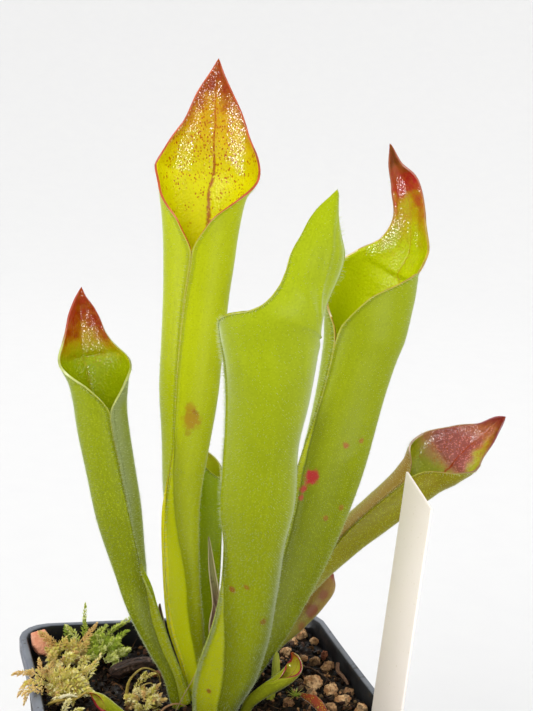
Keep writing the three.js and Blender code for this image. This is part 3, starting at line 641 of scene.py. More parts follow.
def paint_fold_light_and_shade(skin, across, up, fold, low):
    """Painted light and shade on a wing's fold: a lit face, shade past the ridge, a dark crease line."""
    turn = (across - 0.5) * (2 * fold.side)
    ridge = skin.fade(up, fold.low, fold.high, fold.foot, 1.0)
    past = turn - ridge + (skin.noise(300, 2, skin.place()) - 0.5) * 0.03
    open_part = skin.fade(ridge, 0.995, 0.93)
    lit = skin.fade(up, fold.lit, fold.lit + 0.08)
    # Painted light: the face of the wing that turns to the light.
    skin.paint(skin.fade(past, 0.0, 0.05) * open_part * lit * 0.75, rgb(200, 205, 16))
    # Painted shade just past the ridge.
    shade = skin.fade(past, -0.22, -0.02) * skin.fade(past, 0.02, -0.01)
    skin.paint(shade * open_part * 0.5, times(0.52, low))
    # Painted shade: a dark line in the crease of the fold.
    skin.paint(skin.fade(abs(past), 0.02, 0.004) * open_part * 0.5, times(0.4, low))


def outer_skin(name, high, low, fade, tip, marks=(), blush=None, red=0.93, sheen=0.6, fold=None, flush_and_shade=None):
    """The outside of a leaf. `fade` holds the heights in millimetres where low turns into high.

    `flush_and_shade` is a colour that spreads from one side of the seam, a real flush on some leaves and
    painted shade on others, `blush` one that grows up the leaf, and `red` the share of the length where the
    tip's colour starts. Each mark is a point, a radius, a strength and a colour.
    """
    skin = Finish(name, Sheen_Weight=sheen, Sheen_Roughness=0.3, Sheen_Tint=(0.85, 0.95, 0.8),
                  Specular_IOR_Level=0.07)
    place = skin.place()
    height = skin.part(place, "Z")
    across, up = skin.along()
    # Low to high colour up the leaf: partly its own colour, partly painted shade at the foot and painted
    # light in the upper tube.
    skin.start(skin.fade(height, fade[0] * MM, fade[1] * MM), low, high)
    skin.paint(skin.fade(skin.noise(95, 3, place), 0.48, 0.7) * 0.4, times(0.74, high))
    veins = skin.noise(42, 3, skin.chart(across, up * 0.15))
    skin.paint(skin.fade(veins, 0.5, 0.64) * 0.1, times(1.3, high))
    skin.paint(skin.fade(veins, 0.46, 0.36) * 0.1, times(0.6, high))
    grain = skin.noise(2600, 2, place)
    skin.paint(skin.fade(grain, 0.56, 0.7) * 0.2, rgb(214, 222, 50))
    dots = skin.fade(skin.cells(2000, place), 0.36, 0.14)
    dotted = skin.fade(height, 175 * MM, 100 * MM, 0.35, 1.0) * 0.68
    skin.paint((1 - dots) * dotted * 0.5, times(0.55, high))
    skin.paint(dots * dotted, rgb(196, 206, 50))
    skin.paint(skin.fade(grain, 0.46, 0.34) * 0.28, times(0.5, high))
    if fold:
        # Painted light and shade on a wing's fold.
        paint_fold_light_and_shade(skin, across, up, fold, low)
    edge = from_margin(across)
    skin.paint(skin.fade(edge, 0.06, 0.035) * 0.35, times(0.55, low))
    skin.paint(skin.fade(edge, 0.02, 0.006) * 0.8, rgb(206, 204, 84))
    # A colour from one side of the seam: a real flush on some leaves, painted shade on others.
    if flush_and_shade:
        side = skin.fade(across + (skin.noise(120, 3, place) - 0.5) * 0.15, flush_and_shade.none, flush_and_shade.full)
        skin.paint(side * skin.fade(up, flush_and_shade.low, flush_and_shade.high) * flush_and_shade.strength, flush_and_shade.colour)
    if blush:
        colour, none, full, strength = blush
        spread = (skin.noise(150, 3, place) - 0.5) * 0.35
        skin.paint(skin.fade(up + spread, none, full) * strength, colour)
    reddened = (skin.noise(420, 3, place) - 0.5) * 0.05
    skin.paint(skin.fade(up + reddened, red, red + 0.05), tip)
    for x, y, z, radius, strength, shade in marks:
        ragged = (skin.noise(900, 3, place) - 0.5) * (1.1 * radius * MM)
        reach = skin.away_from((x * MM, y * MM, z * MM), place) + ragged
        skin.paint(skin.fade(reach, radius * MM, 0.4 * radius * MM) * strength, shade)
    skin.feed("Roughness", 0.4 + 0.2 * grain)
    skin.bump(veins * 0.5 + grain * 0.2, 0.00022, 0.5)
    skin.glow(times(1.1, high), 0.14)
    return skin.material


print("the outside is matt, with sheen")

# %% [markdown]
# ## The inside and the margin
# Inside, the hood is glossy and yellow with red dots and a red midrib, and its edge and tip are red. Its
# dots come from a Voronoi pattern, thinned out by a slower noise. The cut edge takes one more colour of
# its own.

# %% The inside of a hood


def paint_net(skin, place, across, climb, flush_and_shade):
    """A flush from one side of the hood, with a dark net over it."""
    spread = (skin.noise(230, 4, place) - 0.5) * 0.5
    reach = skin.fade(across + spread, flush_and_shade.none, flush_and_shade.full) * skin.fade(climb, flush_and_shade.low, flush_and_shade.high)
    skin.paint(reach * flush_and_shade.strength, flush_and_shade.colour)
    meshes = skin.cells(2000, place) + (skin.noise(900, 3, place) - 0.5) * 0.9
    skin.paint(skin.fade(meshes, 0.22, 0.45) * reach * 0.7, rgb(134, 32, 52))


def inner_skin(name, low, mid, tip, dots=0.5, rib=0.85, middle=0.85, red=0.93, line=0.8, dry=None,
               flush_and_shade=None):
    """The glossy inside of the mouth and hood. Its three colours follow one another up the leaf.

    `middle` and `red` are the shares of the length where the second and third colour start, `line` the
    strength of the margin's red line, `dry` the share where the tip has withered, and `flush_and_shade` a colour from
    one side.
    """
    skin = Finish(name, Specular_IOR_Level=0.22)
    place = skin.place()
    across, up = skin.along()
    uneven = skin.noise(180, 3, place)
    climb = up + (uneven - 0.5) * 0.06
    skin.start(skin.fade(climb, middle - 0.09, middle + 0.03), low, mid)
    skin.paint(skin.fade(uneven, 0.45, 0.7) * 0.3, times(0.8, low))
    grain = skin.noise(1900, 2, place)
    skin.paint(skin.fade(grain, 0.58, 0.7) * 0.3, rgb(244, 240, 60))
    skin.paint(skin.fade(grain, 0.46, 0.34) * 0.25, times(0.6, low))
    if flush_and_shade:
        paint_net(skin, place, across, climb, flush_and_shade)

    side = abs(across - 0.5) * 2
    specks = skin.cells(1750, skin.stretched(place, 1, 1, 0.75))
    many = skin.fade(skin.noise(420, 2, place) + (up - middle) * 1.5 - side * 0.12, 0.26, 0.46)
    skin.paint(skin.fade(specks, 0.42, 0.22) * many * dots, rgb(184, 66, 6))
    dotted = skin.noise(1100, 2, place)
    midline = skin.fade(side + (dotted - 0.5) * 0.06, 0.042, 0.012) * skin.fade(dotted, 0.34, 0.46)
    skin.paint(midline * rib, rgb(168, 36, 14))
    skin.paint(skin.fade(side, 0.14, 0.0) * skin.fade(climb, middle - 0.05, 1.0) * 0.55, rgb(196, 76, 12))

    spread = skin.noise(380, 4, place) - 0.5
    edge = from_margin(across)
    near = up + spread * 0.1 - edge * 0.03
    skin.paint(skin.fade(near, red - 0.08, red + 0.01) * 0.6, rgb(206, 120, 8))
    patchy = skin.fade(skin.noise(700, 3, place), 0.42, 0.6, 0.85, 1.0)
    skin.paint(skin.fade(near, red - 0.025, red + 0.025) * patchy, tip)
    skin.paint(skin.fade(edge + spread * 0.16, 0.2, 0.0) * line * skin.fade(up, middle - 0.06, red), tip)
    if dry:
        streaks = skin.noise(260, 4, skin.stretched(place, 1, 1, 0.3))
        brown = skin.blend(skin.fade(streaks, 0.4, 0.6), rgb(140, 56, 26), rgb(188, 104, 56))
        skin.paint(skin.fade(up + spread * 0.05, dry - 0.015, dry + 0.02), brown)
    skin.feed("Roughness", 0.12 + 0.1 * grain)
    skin.bump(skin.cells(1900, place) * 0.45 + grain * 0.15 + uneven, 0.0003, 0.65)
    skin.glow(times(1.15, mid), 0.22)
    return skin.material


print("the inside is glossy, with dots and a midline")

# %% The margin


def margin_skin(name, colour, top=None, start=0.9):
    """The cut edge of the leaf, which may take another colour towards the tip."""
    skin = Finish(name, Roughness=0.35, Specular_IOR_Level=0.4)
    uneven = skin.noise(420, 3)
    _, up = skin.along()
    skin.start(skin.fade(uneven, 0.35, 0.65), colour, times(0.7, colour))
    if top:
        skin.paint(skin.fade(up + (uneven - 0.5) * 0.05, start - 0.04, start + 0.02), top)
    skin.bump(uneven, 0.0001, 0.4)
    return skin.material


print("skins: outside, inside and margin")

# %% [markdown]
# ## The six pitchers
# Each leaf has its own stations and its own colours: the tallest is the yellowest, the old one on the
# right is bruised red and dry at its tip, and the youngest that lies out to the right is flushed with
# purple. Three of them have a wing that folds over to one side of the seam; the fold is in the relief, and
# its light and shade are painted into the colours.

# %% The tall pitcher
TALL_FOLD = Fold(side=1, foot=0.5, low=0.17, high=0.47, lit=-1)
tall_skins = (
    outer_skin(
        "tall skin outside", rgb(196, 208, 4), rgb(172, 181, 3), (78, 160), rgb(176, 66, 16), marks=[
            (-3.9, 7.8, 134.6, 2.8, 0.62, rgb(172, 84, 22)), (-4.4, 7.6, 137.3, 1.7, 0.5, rgb(172, 88, 22)),
            (-3.2, 7.9, 136.4, 0.9, 0.5, rgb(150, 70, 18)), (-4.6, 7.8, 131.6, 1.0, 0.4, rgb(150, 80, 18)),
        ], fold=TALL_FOLD),
    inner_skin("tall skin inside", rgb(242, 240, 6), rgb(230, 192, 4), rgb(160, 44, 2), dots=1, middle=0.88),
    margin_skin("tall margin", rgb(206, 88, 24)),
)
tall = rolled("tall_pitcher", tall_skins, 96, 210, [
    [-0.2, 5.2, 69.5, 2.0, 2.2, 180, 0.6, -70],
    [-1.2, 5.5, 76.5, 2.2, 2.8, 180, 1.4, -62],
    [-3.4, 8.0, 89, 3.1, 4.5, 180, 2.0, -66],
    [-4.7, 10, 103.5, 4.1, 4.6, 180, 1.8, -64],
    [-5.3, 11.5, 117, 5.7, 5.0, 180, 1.0, -46],
    [-4.6, 12.5, 128, 6.5, 5.5, 180, 0.6, -36],
    [-3.9, 13.5, 142, 7.6, 6.4, 180, 0.3, -36],
    [-3.2, 14, 160, 7.6, 6.9, 180, 0.1, -32],
    [-2.7, 14, 171, 8.0, 7.5, 180, 0, -26],
    [-2.7, 14, 177.5, 8.6, 8.2, 158, 0, -25],
    [-2.5, 14.5, 184, 9.8, 9.0, 108, 0, -22],
    [-1.8, 15, 189, 11.7, 9.6, 85, 0, -24],
    [-1.1, 16, 194, 10.8, 8.6, 69, 0, -22],
    [-0.3, 17.5, 199, 8.8, 7.2, 58, 0, -18],
    [0.3, 20, 206, 5.7, 4.8, 48, 0, -17],
    [1.4, 22.5, 213, 0.2, 0.2, 36, 0, -17],
], fold=TALL_FOLD)
stands_for(tall, "pitcher_tall")

# %% The left pitcher
LEFT_FOLD = Fold(side=-1, foot=0.5, low=0.12, high=0.46, lit=-1)
left_skins = (
    outer_skin(
        "left skin outside", rgb(156, 170, 6), rgb(118, 128, 4), (80, 140), rgb(170, 62, 20), sheen=0.9,
        marks=[(-24.4, 7.1, 113.3, 0.8, 0.4, rgb(140, 70, 20))], fold=LEFT_FOLD,
        # This side colour is painted grey shade on the side of the tube turned from the lamps.
        flush_and_shade=FlushAndShade(rgb(150, 160, 112), none=0.82, full=0.97, strength=0.75, low=0.36, high=0.52)),
    inner_skin("left skin inside", rgb(164, 182, 6), rgb(196, 190, 8), rgb(166, 40, 2), dots=0.3, rib=0.15,
               middle=0.9, red=0.885, line=0.2),
    margin_skin("left margin", rgb(196, 204, 110), rgb(170, 66, 30), 0.91),
)
left = rolled("left_pitcher", left_skins, 88, 180, [
    [-4.5, 2.5, 69.5, 1.8, 2.0, 180, 0.6, 80],
    [-6.7, 3.0, 77, 2.2, 1.9, 180, 1.2, 86],
    [-9.7, 4.0, 83.5, 3.0, 2.5, 180, 1.8, 82],
    [-13.7, 5.0, 92.5, 4.0, 3.2, 180, 1.8, 66],
    [-16.1, 6.0, 101.5, 4.8, 4.0, 180, 1.0, 24],
    [-19.4, 7.0, 115, 5.9, 5.1, 180, 0.4, 16],
    [-21.5, 8.0, 124, 5.6, 5.3, 180, 0.1, 16],
    [-23.8, 9.0, 136, 5.7, 5.8, 180, 0, 12],
    [-24.5, 9.5, 142.5, 6.4, 6.4, 138, 0, 12],
    [-25.3, 10, 148.3, 8.1, 7.0, 70, 0, 18],
    [-26.3, 11.5, 153.3, 6.6, 5.4, 50, 0, 20],
    [-27.5, 13, 157.5, 4.6, 3.7, 44, 0, 10],
    [-28.1, 14, 160.4, 2.4, 2.0, 38, 0, 4],
    [-28.2, 15, 162.6, 0.2, 0.2, 30, 0, 0],
], fold=LEFT_FOLD)
stands_for(left, "pitcher_left")

# %% The pitcher that leans to the front
FRONT_FOLD = Fold(side=1, foot=0.47, low=0.03, high=0.44, lit=-1)
FRONT_EDGE = [
    (100.5, 180), (101.6, 169), (102.2, 140), (103, 104), (104.2, 88), (106, 79), (108, 74), (110, 71),
    (112.5, 66), (115, 63), (118, 59), (121, 56), (124, 61), (127, 69), (130, 65),
]
front_skins = (
    outer_skin(
        "front skin outside", rgb(176, 193, 4), rgb(146, 154, 4), (88, 176), rgb(170, 160, 40), red=0.99,
        sheen=0.9, fold=FRONT_FOLD, marks=[
            (0.4, -18.4, 105.0, 1.1, 0.8, rgb(150, 70, 30)), (2.6, -21.3, 106.5, 0.9, 0.7, rgb(160, 80, 30)),
            (7.2, -19.4, 98.1, 1.0, 0.7, rgb(140, 60, 30)), (-1.0, -8.7, 78.2, 0.8, 0.8, rgb(150, 60, 20)),
        ],
        # This side colour is painted bluish shade low on one side of the tube.
        flush_and_shade=FlushAndShade(rgb(104, 118, 64), none=0.7, full=0.55, strength=0.6, low=0.5, high=0.25)),
    inner_skin(
        "front skin inside", rgb(190, 200, 10), rgb(196, 196, 12), rgb(190, 170, 30), dots=0.3, red=0.98),
    margin_skin("front margin", rgb(206, 206, 110)),
)
front = rolled("front_pitcher", front_skins, 96, 210, [
    [1.5, -4.5, 69.5, 3.4, 4.2, 180, 0.8, -99],
    [1.3, -7.0, 75.5, 4.2, 5.3, 180, 1.6, -99],
    [2.8, -10, 84, 4.8, 6.4, 180, 2.2, -100],
    [4.0, -13, 92.5, 5.4, 6.2, 180, 2.2, -101],
    [4.2, -17, 103, 5.5, 5.8, 180, 1.8, -101],
    [3.5, -22, 115, 5.9, 6.0, 180, 1.2, -101],
    [2.3, -27, 127, 6.9, 7.2, 180, 0.7, -100],
    [1.0, -32.0, 139.0, 7.3, 6.9, 180, 0.4, -100, 0.10],
    [0.3, -37.0, 150.0, 7.8, 7.6, 180, 0.2, -101, 0.30],
    [-0.7, -40.3, 157.9, 8.4, 8.3, 180, 0, -105, 0.50],
    [-1.1, -41.1, 161.2, 9.2, 8.9, 180, 0, -109, 0.61],
    [-1.6, -41.9, 163.7, 9.9, 9.3, 154, 0, -116, 0.62],
    [-1.8, -42.5, 165.2, 10.1, 9.7, 86, 0, -119, 0.62],
    [-0.2, -43.5, 170.5, 9.6, 9.3, 72, 0, -133, 0.42],
    [2.8, -44.5, 175.5, 8.5, 6.1, 64, 0, -148, 0.21],
    [4.5, -45.0, 180.1, 7.2, 5.1, 56, 0, -155, 0.10],
    [5.4, -45.5, 183.7, 4.6, 3.6, 61, 0, -157, 0.09],
    [6.7, -45.8, 186.8, 2.1, 2.1, 68, 0, -156, 0.10],
    [8.0, -46.5, 189.7, 0.2, 0.2, 69, 0, -154, 0.10],
], fold=FRONT_FOLD, window=4 * MM, edge=FRONT_EDGE)
stands_for(front, "pitcher_front")

# %% The right pitcher
CRIMSON = rgb(190, 14, 54)
RIGHT_FOLD = Fold(side=1, foot=0.75, low=0.25, high=0.62, lit=0.37)
right_skins = (
    outer_skin(
        "right skin outside", rgb(164, 178, 4), rgb(124, 134, 4), (78, 150), rgb(150, 56, 30), red=0.9,
        marks=[
            (22.9, 2.4, 122.6, 2.3, 0.9, CRIMSON), (21.2, 3.0, 119.7, 1.2, 0.8, CRIMSON),
            (20.8, 2.9, 117.8, 0.9, 0.7, CRIMSON), (29.9, 1.1, 130.2, 1.0, 0.6, CRIMSON),
            (33.6, 1.6, 131.0, 0.9, 0.5, CRIMSON), (29.9, 1.5, 115.5, 1.0, 0.4, CRIMSON),
            (26.4, 1.1, 113.3, 0.9, 0.4, CRIMSON),
        ], fold=RIGHT_FOLD),
    inner_skin("right skin inside", rgb(214, 226, 8), rgb(190, 200, 8), rgb(190, 10, 36), dots=0.2, rib=0.35,
               middle=0.88, red=0.885, line=0.12, dry=0.945),
    margin_skin("right margin", rgb(190, 160, 50), rgb(170, 90, 50)),
)
right = rolled("right_pitcher", right_skins, 96, 210, [
    [6.3, 1.5, 69.5, 2.5, 2.7, 180, 0.8, -68],
    [10.1, 2.5, 78, 3.7, 4.1, 180, 1.6, -70],
    [15.6, 3.5, 88, 4.7, 5.7, 180, 1.8, -68],
    [20.7, 5.0, 99.7, 5.8, 6.8, 180, 1.4, -71],
    [24.9, 6.0, 112, 7.0, 7.7, 180, 0.9, -74],
    [28.2, 7.0, 124, 7.9, 8.2, 180, 0.6, -72],
    [31.6, 8.0, 137.7, 8.2, 8.1, 180, 0.3, -65],
    [33.8, 8.0, 149.4, 8.8, 8.6, 180, 0.1, -61],
    [34.9, 8.0, 155.4, 9.6, 9.3, 174, 0, -62],
    [35.6, 8.0, 163, 9.8, 10.4, 139, 0, -59],
    [38.1, 8.5, 170.8, 8.5, 10.4, 83, 0, -52],
    [41.9, 10, 176, 7.4, 8.6, 60, 0, -50],
    [43.9, 11.5, 181.4, 5.1, 5.8, 48, 0, -36],
    [43.6, 12.5, 187, 4.6, 5.0, 46, 0, -22],
    [41.3, 13, 191.2, 2.4, 3.1, 42, 0, -20],
    [39.0, 12, 196.7, 0.2, 0.2, 34, 0, -30],
], fold=RIGHT_FOLD)
stands_for(right, "pitcher_right")

# %% The low pitcher on the right
low_skins = (
    outer_skin(
        "low skin outside", rgb(156, 148, 10), rgb(158, 150, 10), (80, 120), rgb(130, 40, 46), red=0.95,
        blush=(rgb(150, 70, 50), 0.6, 1.1, 0.35),
        flush_and_shade=FlushAndShade(rgb(172, 120, 72), none=0.28, full=0.08, strength=0.5, low=-1, high=-0.5)),
    inner_skin("low skin inside", rgb(156, 164, 24), rgb(186, 190, 50), rgb(140, 22, 34), dots=0.6, rib=0.9,
               middle=0.84, red=0.94, line=0.4,
               flush_and_shade=FlushAndShade(rgb(228, 136, 130), none=0.85, full=0.6, strength=0.95, low=0.76, high=0.84)),
    margin_skin("low margin", rgb(160, 120, 60), rgb(130, 50, 44), 0.93),
)
low = rolled("low_pitcher", low_skins, 88, 180, [
    [11.2, 8.4, 69.5, 1.8, 1.9, 180, 0.4, -20],
    [17.7, 9.5, 82.3, 2.2, 2.8, 180, 0.8, -20],
    [28.4, 14, 94.5, 3.7, 4.3, 180, 1.0, -24],
    [36.9, 17, 102.4, 5.1, 4.9, 180, 0.8, -38],
    [44.8, 18, 108.5, 5.4, 4.9, 180, 0.5, -44],
    [52.0, 19, 113.7, 5.5, 5.1, 180, 0.2, -44],
    [56.0, 19.5, 116.8, 5.9, 5.6, 162, 0, -52],
    [59.7, 20, 120.2, 7.9, 6.4, 114, 0, -60],
    [63.5, 20.6, 123.0, 8.5, 6.3, 88, 0, -60],
    [68.3, 21.5, 125.0, 6.9, 4.9, 70, 0, -50],
    [74.1, 22.5, 127, 3.8, 3.2, 58, 0, -28],
    [77.7, 23, 129.8, 1.9, 1.6, 51, 0, -18],
    [79.2, 23, 131, 0.2, 0.2, 50, 0, -18],
])
stands_for(low, "pitcher_low_right")

# %% The small pitcher behind the tuft
back_skins = (
    outer_skin("back skin outside", rgb(170, 194, 4), rgb(156, 172, 8), (80, 118), rgb(160, 120, 30)),
    inner_skin("back skin inside", rgb(236, 242, 60), rgb(230, 234, 60), rgb(160, 110, 30), dots=0.3),
    margin_skin("back margin", rgb(180, 180, 60)),
)
behind = rolled("back_pitcher", back_skins, 72, 150, [
    [2.8, 11, 69.5, 1.6, 1.7, 180, 0.5, 60],
    [2.8, 14, 77.5, 2.1, 2.3, 180, 1.2, 60],
    [3.4, 18, 88, 2.8, 3.3, 180, 1.2, 60],
    [3.5, 20, 100, 3.3, 3.8, 180, 0.6, 60],
    [3.0, 20.5, 111, 3.7, 4.0, 180, 0.2, 60],
    [2.5, 20.5, 117, 4.2, 4.2, 172, 0, 60],
    [2.1, 20.5, 120.3, 4.4, 4.4, 124, 0, 60],
    [1.5, 21, 123.5, 3.9, 3.7, 88, 0, 60],
    [0.9, 22, 126.6, 2.3, 2.3, 66, 0, 60],
    [0.4, 22.5, 130, 0.2, 0.2, 50, 0, 60],
])
stands_for(behind, "pitcher_back")

# %% [markdown]
# ## The young leaves
# Around the crown stand the first leaves of the season: short red-rimmed tubes, a pointed bud, and one
# red leaf that lies over the grit at the front. They are rolled in the same way, with fewer points.

# %% The young leaves
red_margin = margin_skin("red margin", rgb(166, 40, 40))
olive_skins = (
    outer_skin(
        "olive red skin", rgb(160, 156, 60), rgb(144, 146, 44), (70, 90), rgb(140, 60, 40), marks=[
            (30.4, 18.6, 84.0, 2.4, 0.7, rgb(140, 56, 50)), (33.4, 19.8, 87.6, 1.8, 0.6, rgb(140, 56, 50)),
            (27.6, 17.6, 80.6, 1.6, 0.6, rgb(150, 70, 50)),
        ], blush=(rgb(160, 96, 66), 0.3, 1.0, 0.6)),
    inner_skin("olive red skin inside", rgb(150, 120, 50), rgb(160, 96, 50), rgb(140, 40, 30), dots=0.8),
    red_margin,
)
young_inside = inner_skin(
    "young skin inside", rgb(206, 200, 60), rgb(200, 170, 60), rgb(190, 80, 40), dots=0.6, middle=0.95)
young_skins = (
    outer_skin("young skin", rgb(176, 186, 30), rgb(160, 166, 30), (70, 85), rgb(200, 100, 30), red=0.95,
               blush=(rgb(170, 110, 40), 0.5, 1.2, 0.35)),
    young_inside,
    red_margin,
)
stands_for(rolled("young_leaf_right", olive_skins, 56, 110, [
    [14.0, 11.0, 69.5, 1.2, 1.2, 180, 0.4, 150],
    [16.0, 12.5, 73.5, 1.6, 1.6, 180, 0.4, 150],
    [21.0, 16.0, 77.5, 2.2, 2.2, 180, 0.4, 150],
    [27.3, 20, 81, 2.7, 2.7, 180, 0.2, 150],
    [31.5, 22, 85, 3.2, 3.2, 180, 0, 150],
    [33.7, 23, 87.5, 3.4, 3.2, 125, 0, 150],
    [35.7, 24, 89.6, 2.5, 2.5, 80, 0, 150],
    [37.3, 24.5, 91.2, 0.2, 0.2, 60, 0, 150],
]), "juvenile_back")
stands_for(rolled("young_leaf_front", young_skins, 56, 100, [
    [8.0, -4.8, 69.5, 1.1, 1.1, 180, 0.4, -60],
    [9.1, -6.5, 73.9, 1.4, 1.5, 180, 0.6, -64],
    [12.5, -8.3, 77.7, 1.6, 1.7, 180, 0.4, -70],
    [15.0, -9.4, 79.8, 1.7, 1.9, 180, 0, -50],
    [16.6, -9.8, 81.3, 1.8, 1.9, 150, 0, -44],
    [17.8, -9.9, 83.0, 1.8, 1.8, 100, 0, -40],
    [17.9, -9.9, 84.6, 1.2, 1.3, 84, 0, -40],
    [16.8, -9.9, 86.6, 0.2, 0.2, 76, 0, -40],
]), "juvenile_front")
stands_for(rolled("young_leaf_left", young_skins, 48, 80, [
    [-16.5, -5.2, 68.6, 1.0, 1.0, 180, 0.2, -55],
    [-19.0, -5.0, 71.6, 1.1, 1.1, 180, 0.2, -55],
    [-21.5, -4.8, 73.6, 1.4, 1.3, 176, 0, -50],
    [-23.5, -4.7, 75.1, 1.7, 1.5, 120, 0, -45],
    [-25.0, -4.6, 76.3, 1.3, 1.2, 84, 0, -45],
    [-26.3, -4.6, 77.4, 0.2, 0.2, 60, 0, -45],
]), "juvenile_left")

# %% The bud and the red leaf
THIN_WALL = 0.3 * MM
bud_skins = (
    outer_skin("pale skin", rgb(196, 204, 70), rgb(176, 186, 60), (70, 80), rgb(206, 204, 110), red=0.98),
    young_inside,
    margin_skin("pale margin", rgb(200, 206, 120)),
)
stands_for(rolled("closed_bud", bud_skins, 32, 70, [
    [15.2, -0.2, 68.2, 0.7, 0.7, 180, 0, 20],
    [16.3, 0.8, 73.0, 0.9, 0.9, 180, 0, 20],
    [17.0, 1.2, 76.0, 0.95, 0.95, 180, 0, 20],
    [16.9, 1.2, 79.0, 0.85, 0.85, 180, 0, 20],
    [16.9, 1.1, 81.2, 0.5, 0.5, 178, 0, 20],
    [16.9, 1.0, 82.0, 0.1, 0.1, 150, 0, 20],
], wall=THIN_WALL), "bud")
red_skins = (
    outer_skin("red leaf skin", rgb(160, 70, 44), rgb(140, 60, 44), (69, 75), rgb(140, 40, 30)),
    inner_skin("red leaf inside", rgb(170, 96, 70), rgb(176, 84, 54), rgb(130, 40, 30)),
    red_margin,
)
stands_for(rolled("crimson_leaf", red_skins, 40, 70, [
    [24.9, -13.6, 69.4, 0.7, 0.7, 180, 0, 175],
    [24.4, -12.0, 73.0, 1.0, 0.9, 180, 0, 175],
    [23.2, -8.4, 74.2, 1.2, 0.9, 80, 0, 178],
    [22.0, -5.4, 74.0, 0.8, 0.7, 70, 0, 180],
    [21.3, -3.6, 73.8, 0.2, 0.2, 60, 0, 180],
], wall=THIN_WALL), "red_leaf")

# %% [markdown]
# ## Last year's leaves
# Between the tubes stand the dead leaves of last year, shrunk to brown striped straws. They are rolled
# like the living ones, with one dry finish all over.

# %% Last year's leaves


def dry_skin():
    skin = Finish("dry leaf", Roughness=0.75, Specular_IOR_Level=0.2)
    across, up = skin.along()
    stripes = skin.noise(26, 4, skin.chart(across, up * 0.3))
    skin.start(skin.fade(stripes, 0.38, 0.62), rgb(70, 40, 34), rgb(150, 112, 90))
    skin.paint(skin.fade(skin.part(skin.place(), "Z"), 90 * MM, 99 * MM) * 0.65, rgb(158, 164, 96))
    spots = skin.noise(500, 3)
    skin.paint(skin.fade(spots, 0.55, 0.7) * 0.6, rgb(60, 30, 24))
    skin.paint(skin.fade(from_margin(across), 0.12, 0.02) * 0.8, rgb(190, 176, 140))
    skin.bump(stripes + spots * 0.5, 0.0004, 0.7)
    return skin.material


dry_skins = (dry_skin(),) * 3
DRY_LEAVES = {
    "dry_leaf_tall": [
        [2.9, 7.6, 69.5, 1.1, 1.0, 180, 0, 10],
        [3.4, 6.8, 80, 1.2, 1.0, 180, 0, -10],
        [3.6, 6.5, 92, 1.0, 0.9, 110, 0, -20],
        [2.3, 7.2, 99.5, 0.8, 0.7, 90, 0, -30],
        [1.2, 8.0, 107.6, 0.2, 0.2, 60, 0, -30],
    ],
    "dry_leaf_short": [
        [2.4, 1.8, 69.5, 1.0, 0.9, 180, 0, 0],
        [2.8, 3.0, 78, 1.2, 1.1, 180, 0, 10],
        [2.8, 3.7, 87, 1.5, 1.1, 90, 0, 20],
        [2.4, 4.2, 93, 0.2, 0.2, 60, 0, 20],
    ],
    "dry_leaf_left": [
        [-3.6, 7.6, 69.5, 0.9, 0.9, 180, 0, 0],
        [-6.2, 9.2, 78, 1.0, 1.0, 180, 0, 10],
        [-8.4, 10.0, 86, 1.1, 0.9, 90, 0, 20],
        [-8.9, 9.4, 91.5, 0.2, 0.2, 60, 0, 20],
    ],
}
for node, stations in DRY_LEAVES.items():
    straw = rolled(node.replace("dry_leaf", "straw"), dry_skins, 32, 70, stations, wall=THIN_WALL)
    stands_for(straw, node)

# %% [markdown]
# ## Down
# The outside of the pitchers is downy. Short white hairs cover the lower tubes, and a denser fringe
# stands on the wings and seams, where it shows against the dark soil. A hair is a closed spike with three
# sides. The hairs are shared out over the outside faces by area, more of them low down, and the fringe
# has its own along the seam.

# %% Spikes


def tinted(name, points, faces, tints, finish):
    """A new piece from points and faces, in which every point carries a tint."""
    mesh = bpy.data.meshes.new(name)
    mesh.from_pydata(points, [], faces)
    mesh.attributes.new("tint", "FLOAT", "POINT").data.foreach_set("value", tints)
    mesh.materials.append(finish)
    piece = bpy.data.objects.new(name, mesh)
    bpy.context.scene.collection.objects.link(piece)
    return piece


def spikes(name, roots, ways, lengths, radius, finish):
    """One closed three-sided spike for each root."""
    ways = unit(ways)
    first = unit(np.cross(ways, np.where(np.abs(ways[:, 2:]) > 0.8, [[1.0, 0, 0]], [[0, 0, 1.0]])))
    second = np.cross(ways, first)
    points = [roots + ways * lengths[:, None]]
    for corner in range(3):
        angle = corner * math.tau / 3
        points.append(roots + radius * (math.cos(angle) * first + math.sin(angle) * second))
    points = np.stack(points, axis=1).reshape(-1, 3)
    faces = np.array([(0, 1, 2), (0, 2, 3), (0, 3, 1), (3, 2, 1)])
    faces = (faces[None] + 4 * np.arange(len(roots))[:, None, None]).reshape(-1, 3)
    return tinted(name, points.tolist(), faces.tolist(), np.tile((1.0, 0, 0, 0), len(roots)), finish)


def hair_skin():
    skin = Finish("white down", Roughness=0.5, Specular_IOR_Level=0.4)
    skin.start(skin.tint(), rgb(190, 206, 110), rgb(238, 242, 214))
    skin.glow(rgb(236, 240, 210), 0.4)
    return skin.material


HAIR = hair_skin()
print("a spike has 4 points, and its tip is tinted")

# %% Down
HAIR_RADIUS = 0.03 * MM
SUNK = 0.04 * MM
SEAM = 0.955


def read(items, name, width, kind=float):
    """One property of every point, face or corner of a mesh, as rows of numbers."""
    values = np.empty(len(items) * width, kind)
    items.foreach_get(name, values)
    return values.reshape(-1, width) if width > 1 else values


